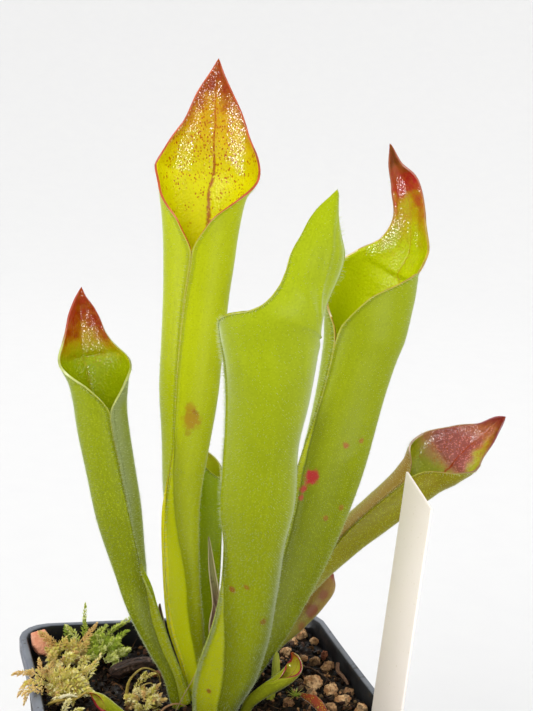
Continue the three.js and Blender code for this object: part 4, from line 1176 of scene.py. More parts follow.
def down(name, piece, count, fringe, seed):
    """Hairs for one pitcher: `count` all over its outside and `fringe` along its seam."""
    rng = np.random.default_rng(seed)
    mesh = piece.data
    centres = read(mesh.polygons, "center", 3)
    normals = read(mesh.polygons, "normal", 3)
    starts = read(mesh.polygons, "loop_start", 1, int)
    corners = read(mesh.vertices, "co", 3)[read(mesh.loops, "vertex_index", 1, int)]
    across = np.abs(read(mesh.uv_layers[0].data, "uv", 2)[starts, 0] - 0.5) * 2
    low = 0.15 + 0.85 * np.clip((165 - centres[:, 2] / MM) / 70, 0, 1) ** 1.5
    chance = read(mesh.polygons, "area", 1) * (read(mesh.polygons, "material_index", 1, int) == 0) * low
    seam = chance * (across > SEAM)
    chosen = rng.choice(len(chance), count, p=chance / chance.sum())
    edge = rng.choice(len(chance), fringe, p=seam / seam.sum())
    picked = np.concatenate([chosen, edge])
    first, third = corners[starts[picked]], corners[starts[picked] + 2]
    slide = rng.uniform(0.1, 0.9, (len(picked), 1))
    roots = centres[picked] + (third - first) * (slide - 0.5) - normals[picked] * SUNK
    ways = normals[picked] + 0.6 * (rng.random((len(picked), 3)) - 0.5) + [0, 0, 0.15]
    lengths = np.concatenate([rng.uniform(0.25, 0.6, count), rng.uniform(0.55, 1.25, fringe)]) * MM
    return spikes(name, roots, ways, lengths, HAIR_RADIUS, HAIR)


DOWN = [
    ("pitcher_tall", tall, 9000, 900),
    ("pitcher_left", left, 8000, 1100),
    ("pitcher_front", front, 11000, 5200),
    ("pitcher_right", right, 13000, 1200),
    ("pitcher_low_right", low, 4000, 400),
    ("pitcher_back", behind, 2000, 400),
]
for seed, (node, pitcher, count, fringe) in enumerate(DOWN):
    stands_for(down(node.replace("pitcher", "down"), pitcher, count, fringe, seed), node)

# %% [markdown]
# ## The pot
# The pot is a thin moulded box with rounded corners and a lip. It is made as a potter would describe it,
# as one outline that grows and shrinks while it rises: up the outside, over the lip, and down the inside
# to the floor. A disc is pulled to a rounded square first, and each step is an extrude, a resize and a
# move. The sides sink in a little between the corners, and four holes drain the floor.

# %% A rounded square


def rounded_square(angle, corner):
    """How far a square of half width 1 with rounded corners reaches in a direction."""
    c, s = abs(math.cos(angle)), abs(math.sin(angle))
    straight = 1 - corner
    reach = 1 / max(c, s)
    if min(c, s) * reach > straight:
        along = straight * (c + s)
        reach = along + math.sqrt(max(0, along**2 - 2 * straight**2 + corner**2))
    return reach


print("corner of a rounded square:", round(rounded_square(math.pi / 4, 0.2), 3), "half widths")

# %% The pot's plastic


def pot_skin():
    """Black plastic with dust, scratches and dirt. Painted light greys the top and outside of its lip."""
    skin = Finish("moulded black plastic", Specular_IOR_Level=0.16)
    place = skin.place()
    x, y, height = (skin.part(place, letter) for letter in "XYZ")
    cloud = skin.noise(90, 4, place)
    dust = skin.fade(cloud, 0.42, 0.7)
    skin.start(dust * 0.6, rgb(17, 18, 21), rgb(44, 45, 48))
    top = skin.fade(height, 75.7 * MM, 75.9 * MM)
    outer = skin.fade(abs(x).most(abs(y)), 36.75 * MM, 37.0 * MM).most(top)
    lit_lip = skin.fade(height, 71.4 * MM, 72.2 * MM) * outer
    # Painted light: the lip's top and outer face are painted slate grey where light falls on them.
    skin.paint(lit_lip, skin.blend(dust, rgb(92, 97, 107), rgb(116, 120, 128)))
    scratch = skin.noise(60, 4, skin.stretched(place, 1, 1, 14))
    skin.paint(skin.fade(scratch, 0.6, 0.68) * lit_lip * 0.5, rgb(160, 162, 166))
    dirt = skin.noise(600, 3, place)
    skin.paint(skin.fade(dirt, 0.62, 0.68) * 0.6, rgb(48, 36, 26))
    skin.feed("Roughness", 0.42 + 0.3 * dust)
    skin.bump(cloud * 0.4 + dirt * 0.4, 0.00035, 0.6)
    return skin.material


POT_PLASTIC = pot_skin()
print("finish:", POT_PLASTIC.name)

# %% The pot
POT_HEIGHT = 76 * MM
FOOT = 28.1
CORNER = 0.2
SINK = 0.4 * MM
PROFILE = [
    (28.5, 0.5), (28.9, 3), (36.8, 71.4), (36.95, 71.75), (38.0, 71.85), (38.08, 72.1), (38.22, 75.2),
    (38.12, 75.7), (37.85, 76.0), (37.0, 76.0), (36.55, 75.75), (36.3, 75.2), (35.8, 71.5), (28.0, 3.0),
    (27.2, 1.9),
]

alone()
bpy.ops.mesh.primitive_circle_add(vertices=128, radius=1, fill_type="NGON")
pot = named("nursery_pot", POT_PLASTIC)
for vertex in pot.data.vertices:
    angle = math.atan2(vertex.co.y, vertex.co.x)
    vertex.co = vertex.co.normalized() * (rounded_square(angle, CORNER) * FOOT * MM)
edit_all()
half, height = FOOT, 0.0
for next_half, next_height in PROFILE:
    wider = next_half / half
    bpy.ops.mesh.extrude_region_move()
    bpy.ops.transform.resize(value=(wider, wider, 1), center_override=(0, 0, 0))
    bpy.ops.transform.translate(value=(0, 0, (next_height - height) * MM))
    half, height = next_half, next_height
close_edit()
for vertex in pot.data.vertices:
    x, y, z = vertex.co
    wide, other = (0, 1) if abs(x) > abs(y) else (1, 0)
    share = vertex.co[other] / max(abs(vertex.co[wide]), 1e-9)
    vertex.co[wide] -= math.copysign(SINK * max(0, 1 - (share / 0.8) ** 2) * z / POT_HEIGHT, vertex.co[wide])
print(size_of(pot))

# %% The drain holes
for x, y in ((18, 18), (18, -18), (-18, 18), (-18, -18)):
    alone()
    place = (x * MM, y * MM, 0)
    bpy.ops.mesh.primitive_cylinder_add(vertices=32, radius=3 * MM, depth=10 * MM, location=place)
    drill = bpy.context.object
    bpy.context.view_layer.objects.active = pot
    modified(pot, "BOOLEAN", object=drill, solver="EXACT")
    bpy.data.objects.remove(drill)
alone()
pot.select_set(True)
bpy.ops.object.shade_smooth_by_angle(angle=math.radians(40))
stands_for(pot, "pot")

# %% [markdown]
# ## The plant label
# A blank strip of cream plastic is pushed into the soil by the right rim. Its outline has one slanted end
# and a point below. It is drawn flat, thickened, and its edges are rounded so that they catch the light.

# %% The plant label


def label_skin():
    skin = Finish("cream plastic", Roughness=0.42, Specular_IOR_Level=0.35)
    place = skin.place()
    cloud = skin.noise(70, 3, place)
    specks = skin.noise(1400, 2, place)
    skin.start(cloud, rgb(249, 238, 230), rgb(252, 244, 238))
    skin.paint(skin.fade(specks, 0.68, 0.74) * 0.3, rgb(200, 186, 150))
    skin.paint(skin.fade(skin.part(place, "Z"), 76 * MM, 72 * MM) * 0.7, rgb(120, 100, 70))
    skin.bump(specks * 0.3 + cloud, 0.0001, 0.4)
    skin.glow(rgb(248, 245, 236), 0.12)
    return skin.material


LABEL_FOOT = Vector((33.5, -18.2, 75.8)) * MM
LABEL_OUTLINE = [(0, 52.5), (0, -8), (6.5, -26), (13, -8), (13, 46.5)]
label_up = Vector((0.13, 0.15, 0.98)).normalized()
label_across = Vector((1.25, -12.8, 1.83))
label_across = (label_across - label_up * label_across.dot(label_up)).normalized()
label_frame = Matrix((label_across, label_up, label_across.cross(label_up))).transposed()

alone()
bpy.ops.mesh.primitive_circle_add(vertices=5, radius=1, fill_type="NGON")
label = named("blank_label", label_skin())
for vertex, (x, y) in zip(label.data.vertices, LABEL_OUTLINE):
    vertex.co = LABEL_FOOT + label_frame @ Vector((x * MM, y * MM, 0))
modified(label, "SOLIDIFY", thickness=0.6 * MM, offset=0)
modified(label, "BEVEL", width=0.16 * MM, segments=3)
edit_all()
bpy.ops.mesh.normals_make_consistent(inside=False)
close_edit()
bpy.ops.object.shade_smooth_by_angle(angle=math.radians(50))
stands_for(label, "plant_label")

# %% [markdown]
# ## Soil
# The pot is filled with a dark, wet peat mix. Its surface is a grid pushed up and down by a few sizes of
# noise, so it has hollows as well as crumbs. The outline of the grid is drawn in to the pot's rounded
# square, and the rim of the grid is pulled down to close it below.

# %% The height of the soil


def soil_height(x, y):
    """The soil's height above the pot's foot, in millimetres, at a place in millimetres."""
    s = min(1, max(0, (x + 10) / 40))
    rise = s * s * (3 - 2 * s)
    from_crown = math.hypot(x - 5, y - 4) / 11
    bumps = math.sin(0.52 * x + 1.3) * math.sin(0.47 * y + 0.4) + 0.7 * math.sin(1.1 * x + 0.8 * y)
    return 70.2 + 1.9 * rise - 1.6 * math.exp(-(from_crown**2)) + 0.45 * bumps


print("soil by the crown and by the right rim:", round(soil_height(5, 4), 1), round(soil_height(34, 4), 1))

# %% Soil
SOIL_HALF = 35.6
SOIL_DEPTH = 12 * MM


def soil_skin():
    skin = Finish("wet peat", Specular_IOR_Level=0.12)
    place = skin.place()
    crumbs = skin.noise(700, 4, place)
    fibres = skin.noise(260, 4, skin.stretched(place, 1, 4, 1))
    skin.start(skin.fade(crumbs, 0.35, 0.7), rgb(5, 4, 3), rgb(34, 23, 14))
    skin.paint(skin.fade(fibres, 0.62, 0.7) * 0.5, rgb(84, 58, 32))
    skin.feed("Roughness", skin.fade(crumbs, 0.3, 0.7, 0.35, 0.85))
    skin.bump(crumbs + fibres * 0.5, 0.0006, 0.9)
    return skin.material


alone()
bpy.ops.mesh.primitive_grid_add(x_subdivisions=176, y_subdivisions=176, size=2)
soil = named("peat_soil", soil_skin())
for vertex in soil.data.vertices:
    x, y, _ = vertex.co
    ring = max(abs(x), abs(y))
    angle = math.atan2(y, x)
    reach = rounded_square(angle, CORNER * ring**4) * ring * SOIL_HALF
    x, y = reach * math.cos(angle), reach * math.sin(angle)
    rough = 0.9 * hills.noise((x / 2.1, y / 2.1, 3)) + 0.55 * hills.noise((x / 0.9, y / 0.9, 7))
    fine = 0.3 * hills.noise((x / 0.45, y / 0.45, 11))
    vertex.co = Vector((x, y, soil_height(x, y) - 0.35 + rough + fine)) * MM
bpy.ops.object.mode_set(mode="EDIT")
bpy.ops.mesh.select_mode(type="EDGE")
bpy.ops.mesh.select_all(action="DESELECT")
bpy.ops.mesh.select_non_manifold()
bpy.ops.mesh.extrude_edges_move(TRANSFORM_OT_translate={"value": (0, 0, -SOIL_DEPTH)})
bpy.ops.transform.resize(value=(0.96, 0.96, 0), center_override=(0, 0, 58 * MM))
bpy.ops.mesh.edge_face_add()
bpy.ops.mesh.select_all(action="SELECT")
bpy.ops.mesh.normals_make_consistent(inside=False)
bpy.ops.mesh.select_mode(type="VERT")
close_edit()
bpy.ops.object.shade_smooth()
stands_for(soil, "soil")

# %% [markdown]
# ## Crumbs and grit
# On the peat lie nearly two thousand crumbs: black peat, brown bark and pale grit. One lump is modelled
# and copied with a new size, turn and dent each time. All copies of a kind are joined in one mesh, and
# each copy carries one random number, its tint, that its finish turns into a colour.

# %% Many copies of one lump


def lump():
    alone()
    bpy.ops.mesh.primitive_ico_sphere_add(subdivisions=1, radius=1)
    return bpy.context.object


def random_turn():
    angle = random.uniform(0, 6.28)
    axis = Vector([random.uniform(-1, 1) for _ in range(3)])
    return Matrix.Rotation(angle, 4, axis.normalized())


def copies(name, source, placings, finish, dent, seed):
    """Many copies of a small piece as one mesh. A placing is a matrix; each copy gets a random tint."""
    rng = np.random.default_rng(seed)
    points = np.array([vertex.co for vertex in source.data.vertices])
    faces = [list(face.vertices) for face in source.data.polygons]
    all_points, all_faces, tints = [], [], []
    for number, placing in enumerate(placings):
        placing = np.array(placing)
        shaped = points * (1 + dent * (rng.random((len(points), 1)) - 0.5))
        all_points.append(shaped @ placing[:3, :3].T + placing[:3, 3])
        start = number * len(points)
        all_faces += [[start + i for i in face] for face in faces]
        tints += [rng.random()] * len(points)
    bpy.data.objects.remove(source)
    return tinted(name, np.concatenate(all_points).tolist(), all_faces, tints, finish)


def on_soil(count, half, size, sink, choose=None, flat=(0.6, 1.0)):
    """Random placings on the soil for lumps of about this size in millimetres."""
    placings = []
    while len(placings) < count:
        x, y = random.uniform(-half, half), random.uniform(-half, half)
        if max(abs(x), abs(y)) ** 4 + min(abs(x), abs(y)) ** 4 * 0.8 > half**4:
            continue
        if choose and not choose(x, y):
            continue
        radius = random.uniform(*size) * random.uniform(0.7, 1.1)
        place = Vector((x, y, soil_height(x, y) - 0.1 + radius * sink)) * MM
        shape = Matrix.Diagonal((radius * MM, radius * MM * random.uniform(*flat), radius * MM * 0.8, 1))
        placings.append(Matrix.Translation(place) @ random_turn() @ shape)
    return placings


def right_side(x, _):
    return x > 8 + 10 * random.random()


print("lumps are placed at random, grit on the right side only")

# %% Crumbs and grit


def crumb_skin(name, shades, rough):
    """A mixed finish: each copy's tint picks a place on a row of shades."""
    skin = Finish(name, Specular_IOR_Level=0.12)
    texture = skin.noise(900, 3)
    skin.ladder(skin.tint() + (texture - 0.5) * 0.35, shades, 0.05)
    skin.paint(skin.fade(texture, 0.52, 0.34) * 0.55, rgb(30, 20, 14))
    skin.feed("Roughness", rough + 0.25 * (texture - 0.5))
    skin.bump(texture, 0.0004, 0.7)
    return skin.material


PEAT = crumb_skin(
    "peat crumbs", [rgb(14, 10, 7), rgb(40, 26, 16), rgb(22, 15, 10), rgb(70, 46, 28)], 0.6)
GRIT = crumb_skin(
    "grit", [rgb(170, 126, 82), rgb(196, 150, 104), rgb(120, 84, 54), rgb(92, 74, 48)], 0.6)
CHIPS = crumb_skin(
    "bark crumbs", [rgb(52, 34, 28), rgb(84, 56, 42), rgb(36, 24, 22), rgb(110, 78, 48)], 0.7)

random.seed(7)
peat_places = on_soil(1500, 35, (0.35, 0.9), sink=0.25)
stands_for(copies("peat_crumbs", lump(), peat_places, PEAT, dent=0.5, seed=3), "soil")
grit_places = on_soil(170, 34.5, (0.3, 0.8), sink=0.3, choose=right_side)
stands_for(copies("grit", lump(), grit_places, GRIT, dent=0.45, seed=5), "soil")
chip_places = on_soil(260, 34.5, (0.4, 1.2), sink=0.2, flat=(0.3, 0.6))
stands_for(copies("bark_crumbs", lump(), chip_places, CHIPS, dent=0.5, seed=9), "soil")

# %% [markdown]
# ## Stones
# The larger stones of the grit are crumbly lumps, smeared with soil. Each is a ball of fine faces, dented
# by four sizes of noise, and sits half sunk in the peat.

# %% The stones' finishes


def stone_skin(name, light, dark):
    skin = Finish(name, Specular_IOR_Level=0.12)
    place = skin.place()
    cloud = skin.noise(520, 5, place, 0.6)
    pits = skin.noise(1500, 4, place, 0.6)
    skin.start(skin.fade(cloud, 0.38, 0.62), dark, light)
    skin.paint(skin.fade(pits, 0.52, 0.62) * 0.65, times(0.35, dark))
    skin.paint(skin.fade(skin.noise(260, 3, place), 0.54, 0.62) * 0.7, rgb(40, 27, 18))
    skin.feed("Roughness", 0.55 + 0.35 * cloud)
    skin.bump(pits + cloud, 0.0009, 0.9)
    return skin.material


SAND = stone_skin("tan stone", rgb(232, 192, 142), rgb(184, 134, 90))
RUST = stone_skin("rusty stone", rgb(176, 112, 80), rgb(120, 70, 52))
MUD = stone_skin("brown stone", rgb(196, 154, 110), rgb(134, 98, 68))
print("stones are sand, rust or mud")

# %% Stones
STONES = [
    (32.0, 31.6, 2.0, 1.9, 1.7, SAND), (29.2, 28.4, 1.7, 1.5, 1.2, SAND), (34.2, 26.2, 1.1, 1.1, 1.0, SAND),
    (25.6, 21.8, 1.3, 1.2, 0.9, SAND), (34.0, 17.2, 0.9, 1.0, 1.2, RUST), (28.7, 17.0, 1.1, 0.9, 0.8, SAND),
    (30.9, 15.0, 1.6, 1.3, 1.2, MUD), (32.9, 11.0, 1.8, 1.4, 1.2, MUD), (26.2, 2.2, 2.1, 1.7, 2.1, SAND),
    (24.9, -1.6, 1.5, 1.2, 1.1, SAND), (31.6, 3.0, 0.8, 0.8, 0.8, MUD), (29.9, -1.2, 1.7, 1.4, 1.5, SAND),
    (31.0, -6.0, 1.8, 1.2, 1.2, SAND), (27.4, -8.6, 1.5, 1.2, 1.1, MUD), (33.4, -3.0, 1.2, 1.2, 1.3, MUD),
    (33.6, -11.2, 1.4, 1.3, 1.2, SAND), (18.6, -4.6, 1.2, 1.2, 1.2, MUD),
]
GOLDEN = 2.4

for number, (x, y, wide, deep, high, finish) in enumerate(STONES, 1):
    alone()
    bpy.ops.mesh.primitive_ico_sphere_add(subdivisions=4, radius=1)
    stone = named(f"pebble_{number:02d}", finish)
    middle = Vector((x, y, soil_height(x, y) + 0.3 * high)) * MM
    spin = Matrix.Rotation(number * GOLDEN, 3, "Z")
    start = Vector((number * 7, number * 3, 0))
    for vertex in stone.data.vertices:
        way = vertex.co.normalized()
        dents = 0.34 * hills.noise(way * 1.1 + start) + 0.2 * hills.noise(way * 2.9 - start)
        knobs = 0.12 * hills.noise(way * 6.5 + start) - 0.1 * abs(hills.noise(way * 4.3 - start))
        shaped = way * (1 + dents + knobs)
        vertex.co = middle + spin @ Vector((shaped.x * wide, shaped.y * deep, shaped.z * high)) * MM
    bpy.ops.object.shade_smooth()
    stands_for(stone, f"stone_{number:02d}")

# %% [markdown]
# ## Bark, twig and a shard
# A curl of bark lies between the moss and the crown, a thin root by the right rim, and a terracotta shard
# leans on the left wall. Bark and root are swept along their paths, ring by ring, from a rolled grid with
# lengthwise ridges.

# %% Sweeping a round piece along a path
STEP = 1e-4


def swept(name, path, radius, flat, finish, rings=60, sides=28, ridges=0.0, count=7):
    """A grid rolled round a path in millimetres; `radius` gives its thickness from 0 to 1 along the path."""
    points = [Vector(point) * MM for point in path]
    places = np.concatenate([[0], np.cumsum([(b - a).length for a, b in zip(points, points[1:])])])
    curves = [Curve(places, np.array([point[i] for point in points]), False) for i in range(3)]
    alone()
    bpy.ops.mesh.primitive_grid_add(x_subdivisions=sides, y_subdivisions=rings, size=2, calc_uvs=True)
    piece = named(name, finish)
    for vertex in piece.data.vertices:
        share = (vertex.co.y + 1) / 2
        angle = math.pi * vertex.co.x
        t = share * places[-1]
        low, high = max(t - STEP, 0), min(t + STEP, places[-1])
        middle = Vector([curve(t) for curve in curves])
        up = Vector([curve(high) - curve(low) for curve in curves]).normalized()
        side = up.cross(Vector((0, 0, 1))).normalized()
        top = side.cross(up)
        ridge = math.sin(count * angle + 3 * share) + 0.8 * hills.noise((6 * share, angle * 2, 1))
        reach = radius(share) * MM * (1 + ridges * ridge)
        if share < 1e-6 or share > 1 - 1e-6:
            reach = 0
        vertex.co = middle + side * (reach * math.cos(angle)) + top * (reach * flat * math.sin(angle))
    edit_all()
    bpy.ops.mesh.remove_doubles(threshold=0.01 * MM)
    bpy.ops.mesh.normals_make_consistent(inside=False)
    close_edit()
    bpy.ops.object.shade_smooth()
    return piece


print("a path of points becomes a ridged stick")

# %% Bark and twig


def bark_skin(name, light, dark):
    skin = Finish(name, Specular_IOR_Level=0.15)
    across, up = skin.along()
    fibre = skin.noise(30, 5, skin.chart(across, up * 0.25))
    spots = skin.noise(800, 3)
    skin.start(skin.fade(fibre, 0.35, 0.65), dark, light)
    skin.paint(skin.fade(spots, 0.6, 0.7) * 0.4, rgb(130, 108, 96))
    skin.feed("Roughness", 0.55 + 0.3 * fibre)
    skin.bump(fibre + spots * 0.3, 0.0008, 0.8)
    return skin.material


def bark_thickness(share):
    return (2.4 - 1.0 * abs(share - 0.4)) * min(1, 12 * share, 12 * (1 - share))


def twig_thickness(share):
    return 0.45 * (1.1 - 0.4 * share)


bark = swept("bark_curl", [(-18.6, 15.6, 71.8), (-14.5, 17.6, 72.6), (-10.4, 18.4, 73.0), (-6.6, 18.4, 72.6)],
             bark_thickness, 0.62, bark_skin("bark", rgb(64, 46, 36), rgb(26, 18, 14)), ridges=0.09)
stands_for(bark, "bark")
twig = swept("root_twig", [(34.4, 8.4, 75.0), (34.0, 7.0, 73.6), (34.5, 4.2, 73.2), (34.5, 0.6, 73.0)],
             twig_thickness, 1, bark_skin("root", rgb(150, 116, 90), rgb(92, 64, 50)),
             rings=40, sides=14, ridges=0.08, count=3)
stands_for(twig, "twig")

# %% The terracotta shard


def shard_skin():
    skin = Finish("terracotta", Roughness=0.85, Specular_IOR_Level=0.12)
    place = skin.place()
    cloud = skin.noise(300, 4, place)
    grain = skin.noise(1900, 3, place)
    skin.start(skin.fade(cloud, 0.3, 0.7), rgb(226, 140, 110), rgb(250, 186, 154))
    skin.paint(skin.fade(grain, 0.6, 0.68) * 0.4, rgb(150, 84, 62))
    skin.bump(grain + cloud, 0.0005, 0.8)
    return skin.material


SHARD = [(-2.6, 3), (1.6, 3.2), (2.9, 0.6), (2.2, -2.2), (0.4, -3.1), (-1.8, -2.4), (-3.0, -0.2)]
SHARD_PLACE = Vector((-32.9, 30.0, 74.2)) * MM
alone()
bpy.ops.mesh.primitive_circle_add(vertices=7, radius=1, fill_type="NGON")
shard = named("terracotta_shard", shard_skin())
lean = Matrix.Rotation(math.radians(20), 3, "Z") @ Matrix.Rotation(math.pi / 2 - 0.6, 3, "X")
for vertex, (x, z) in zip(shard.data.vertices, SHARD):
    vertex.co = SHARD_PLACE + lean @ Vector((x * 0.85, z, 0)) * MM
modified(shard, "SOLIDIFY", thickness=1.3 * MM, offset=0)
edit_all()
bpy.ops.mesh.normals_make_consistent(inside=False)
bpy.ops.mesh.bevel(offset=0.3 * MM, segments=2)
bpy.ops.mesh.select_all(action="SELECT")
bpy.ops.mesh.quads_convert_to_tris()
bpy.ops.mesh.subdivide(number_cuts=3, smoothness=0)
close_edit()
for vertex in shard.data.vertices:
    place = vertex.co / MM * 0.9
    push = Vector([hills.noise(place + Vector((k * 9, 0, 0))) for k in range(3)])
    vertex.co += push * 0.22 * MM
bpy.ops.object.shade_smooth_by_angle(angle=math.radians(45))
stands_for(shard, "terracotta_chip")

# %% [markdown]
# ## Moss
# Bog moss grows as soft plumes, each covered in overlapping papery leaves that end in a tuft. It is dry
# and straw coloured on the left and by the crown, green behind. A plume follows an arched path, and its
# leaves stand round it in a spiral, each one a small closed kite. The large plumes are placed one by one,
# with short ones between.

# %% A plume of moss


class Moss:
    """A growing list of small closed leaves, each with its own tint."""

    def __init__(self, seed):
        self.rng = random.Random(seed)
        self.points = []
        self.tints = []

    def plume(self, root, tip, thick, arch=0.0, tint=None, spread=0.55):
        """One plume in millimetres from root to tip. `arch` lifts its middle, `thick` is its half width."""
        root, tip = Vector(root), Vector(tip)
        length = (tip - root).length
        shade = self.rng.random() if tint is None else tint
        count = int(16 + length * thick * 7)
        for i in range(count):
            share = (i + 0.5) / count
            middle = root.lerp(tip, share) + Vector((0, 0, 4 * arch * share * (1 - share)))
            along = (tip - root + Vector((0, 0, 4 * arch * (1 - 2 * share)))).normalized()
            side = along.cross(Vector((0.3, 0.9, 0.2))).normalized()
            angle = i * 2.4 + self.rng.uniform(-0.5, 0.5)
            out = side * math.cos(angle) + along.cross(side) * math.sin(angle)
            reach = thick * math.sin(math.pi * (0.18 + 0.82 * share)) ** 0.6 * self.rng.uniform(0.7, 1.15)
            base = middle + out * reach * 0.25
            rise = 0.5 + spread * self.rng.random()
            end = middle + out * reach * 1.05 + along * rise * (0.6 + 0.4 * thick)
            end.z -= self.rng.random() * 0.35 * thick
            leaf_tint = min(1, max(0, shade + self.rng.uniform(-0.22, 0.22)))
            self.leaf(base, end, out, 0.42 + 0.14 * thick, leaf_tint)

    def leaf(self, base, end, out, width, tint):
        along = end - base
        across = along.cross(out)
        if across.length < 1e-6:
            across = along.orthogonal()
        across = across.normalized() * width * self.rng.uniform(0.35, 0.6)
        belly = base + along * 0.4 + along.cross(across).normalized() * width * 0.35
        self.points += [base, base + along * 0.45 + across, end, base + along * 0.45 - across, belly]
        self.tints += [tint] * 5

    def tuft(self, middle, half, count, size, rise=0.5):
        """Short plumes all over a lump; half is its three half sizes."""
        for _ in range(count):
            way = Vector([self.rng.uniform(-1, 1) for _ in range(3)]).normalized()
            way.z = abs(way.z) * 0.9 - 0.1
            root = Vector([c + w * h * 0.6 for c, w, h in zip(middle, way, half)])
            jitter = Vector([self.rng.uniform(-0.7, 0.7) for _ in range(3)])
            tip = root + (way + jitter + Vector((0, 0, rise))).normalized() * self.rng.uniform(*size)
            self.plume(root, tip, self.rng.uniform(0.55, 1.05), self.rng.uniform(-0.3, 0.8))

    def piece(self, name, finish):
        """All leaves as one mesh."""
        kite = [(0, 1, 4), (1, 2, 4), (2, 3, 4), (3, 0, 4), (1, 0, 3), (2, 1, 3)]
        faces = [[start + i for i in face] for start in range(0, len(self.points), 5) for face in kite]
        alone()
        made = tinted(name, [tuple(point * MM) for point in self.points], faces, self.tints, finish)
        bpy.context.view_layer.objects.active = made
        made.select_set(True)
        edit_all()
        bpy.ops.mesh.normals_make_consistent(inside=False)
        close_edit()
        return made


print("a plume is a spiral of small closed kites")

# %% The colours of moss


def moss_skin(name, shades, low):
    skin = Finish(name, Roughness=0.6, Specular_IOR_Level=0.25)
    place = skin.place()
    fine = skin.noise(1500, 3, place)
    skin.ladder(skin.tint() + (fine - 0.5) * 0.3, shades, 0.12)
    skin.paint(skin.fade(fine, 0.5, 0.36) * 0.5, low)
    # Painted shade: the moss is darker low down near the soil, where shade falls deep in the heap.
    skin.paint(skin.fade(skin.part(place, "Z"), 72.8 * MM, 70.4 * MM) * 0.6, times(0.35, low))
    skin.bump(fine, 0.0002, 0.5)
    skin.glow(shades[-1], 0.35)
    return skin.material


STRAW = moss_skin(
    "straw moss", [rgb(230, 190, 130), rgb(238, 214, 144), rgb(222, 220, 98), rgb(252, 246, 200)],
    low=rgb(178, 150, 74))
GREEN = moss_skin(
    "green moss", [rgb(136, 162, 40), rgb(172, 196, 60), rgb(210, 220, 104), rgb(240, 242, 172)],
    low=rgb(112, 134, 38))
print("moss is straw coloured or green")

# %% Straw coloured moss
STRAW_PLUMES = [
    ((-29, 27, 73), (-33.6, 28, 78), 1.5, 0.4, 0.2), ((-26, 26.5, 73.5), (-20.8, 25.5, 80.4), 1.2, -0.5, 0.1),
    ((-30.5, 26.5, 72), (-28, 26, 77), 1.6, 0, 0.5), ((-27, 26, 72), (-26, 25.5, 76.6), 1.7, 0, 0.6),
    ((-25, 25, 72), (-23, 24, 76.4), 1.5, 0.3, 0.35), ((-31, 22.5, 72), (-31.5, 21, 76), 1.5, 0, 0.5),
    ((-28, 21.5, 72), (-27.5, 20, 75.6), 1.6, 0.3, 0.7), ((-25, 20.5, 72), (-23.6, 18.8, 75), 1.4, 0.4, 0.6),
    ((-34, 9, 73), (-28, 5, 78.2), 2, 1.2, 0.62), ((-33.5, 6, 73), (-26.5, 3, 77), 2.1, 1.4, 0.7),
    ((-33, 3.5, 73.5), (-25, 1, 75.2), 1.9, 1.2, 0.65), ((-30, 9, 73), (-25, 7, 78), 1.8, 0.8, 0.8),
    ((-26.5, 6.5, 74.5), (-22.6, 5, 82), 0.9, -0.8, 0.75),
    ((-28.5, 7, 75), (-23.6, 5.5, 80.4), 0.8, -0.4, 0.4),
    ((-34.5, 12, 73), (-35.5, 11.5, 78.6), 0.9, 0.2, 0.15), ((-33, 12, 73), (-32.5, 11, 78), 0.8, 0.8, 0.3),
    ((-34.6, 7, 75.5), (-38.6, 5, 78.6), 1.1, 0.8, 0.35), ((-37.5, 5.6, 78), (-41.8, 3, 79.4), 0.8, 0.3, 0.2),
    ((-35, 3.5, 75.5), (-39.6, 0.5, 77.8), 1.1, 1.4, 0.4), ((-35.5, 1, 75), (-40.2, -3, 77.4), 1, 1.5, 0.3),
    ((-38.6, 2.6, 78), (-40.9, 0.6, 75.4), 0.7, 0.3, 0.2),
    ((-38.8, -0.8, 77.4), (-39.8, -1.6, 74.6), 0.6, 0.2, 0.25),
    ((-33.8, 0.4, 74), (-25.6, 0, 74.6), 0.6, 0.7, 0.9), ((-32, -3.2, 72), (-30.4, -3.4, 75.6), 1, 0.3, 0.95),
    ((-31, -4.6, 71.8), (-28, -5.5, 74.4), 0.8, 0.5, 0.8),
]
straw = Moss(21)
for root, tip, thick, arch, tint in STRAW_PLUMES:
    straw.plume(root, tip, thick, arch, tint)
straw.tuft((-28.5, 24.5, 72.0), (4.6, 5.0, 3.2), 46, (1.6, 3.2))
straw.tuft((-29.6, 5.5, 72.6), (5.0, 6.0, 3.6), 60, (1.6, 3.2), 0.3)
straw.tuft((-31.0, 15.0, 71.4), (3.4, 4.6, 2.6), 30, (1.4, 2.8))
stands_for(straw.piece("straw_moss", STRAW), "moss_tan")

# %% Green moss
GREEN_PLUMES = [
    ((-23.5, 30, 73), (-26.8, 30.4, 78), 1.3, 0.3, 0.75),
    ((-21.5, 30.5, 73), (-17.6, 31, 77.6), 1.2, 0.3, 0.7),
    ((-22.3, 33.4, 73), (-22.2, 34.6, 77.6), 1.1, 0, 0.55),
    ((-22.3, 34.4, 76.2), (-22.2, 34.8, 81.6), 0.7, 0, 0.6),
    ((-26, 32.5, 73), (-27, 33.5, 76.6), 1, 0, 0.1), ((-17.5, 33, 73), (-13.6, 34.4, 76.4), 1, 0.4, 0.55),
    ((-15, 34, 75.2), (-9.8, 35, 78), 0.9, 0.3, 0.65), ((-16.5, 30, 73), (-12.4, 30.4, 76.2), 1, 0.3, 0.4),
    ((-20, 27, 72), (-19, 26.5, 77), 1.5, 0, 0.4), ((-17.5, 26, 72), (-15.2, 25, 76.4), 1.4, 0.2, 0.5),
    ((-17, 23.5, 72), (-13.4, 22.6, 75), 1.3, 0.5, 0.8), ((-19, 22, 72), (-16.6, 19.6, 74.4), 1.3, 0.6, 0.85),
    ((-22, 24, 72), (-21.4, 22, 76.2), 1.3, 0.2, 0.45), ((-18, 20, 71), (-14.6, 18, 73.4), 1.1, 0.5, 0.9),
]
green = Moss(4)
for root, tip, thick, arch, tint in GREEN_PLUMES:
    green.plume(root, tip, thick, arch, tint, 0.7)
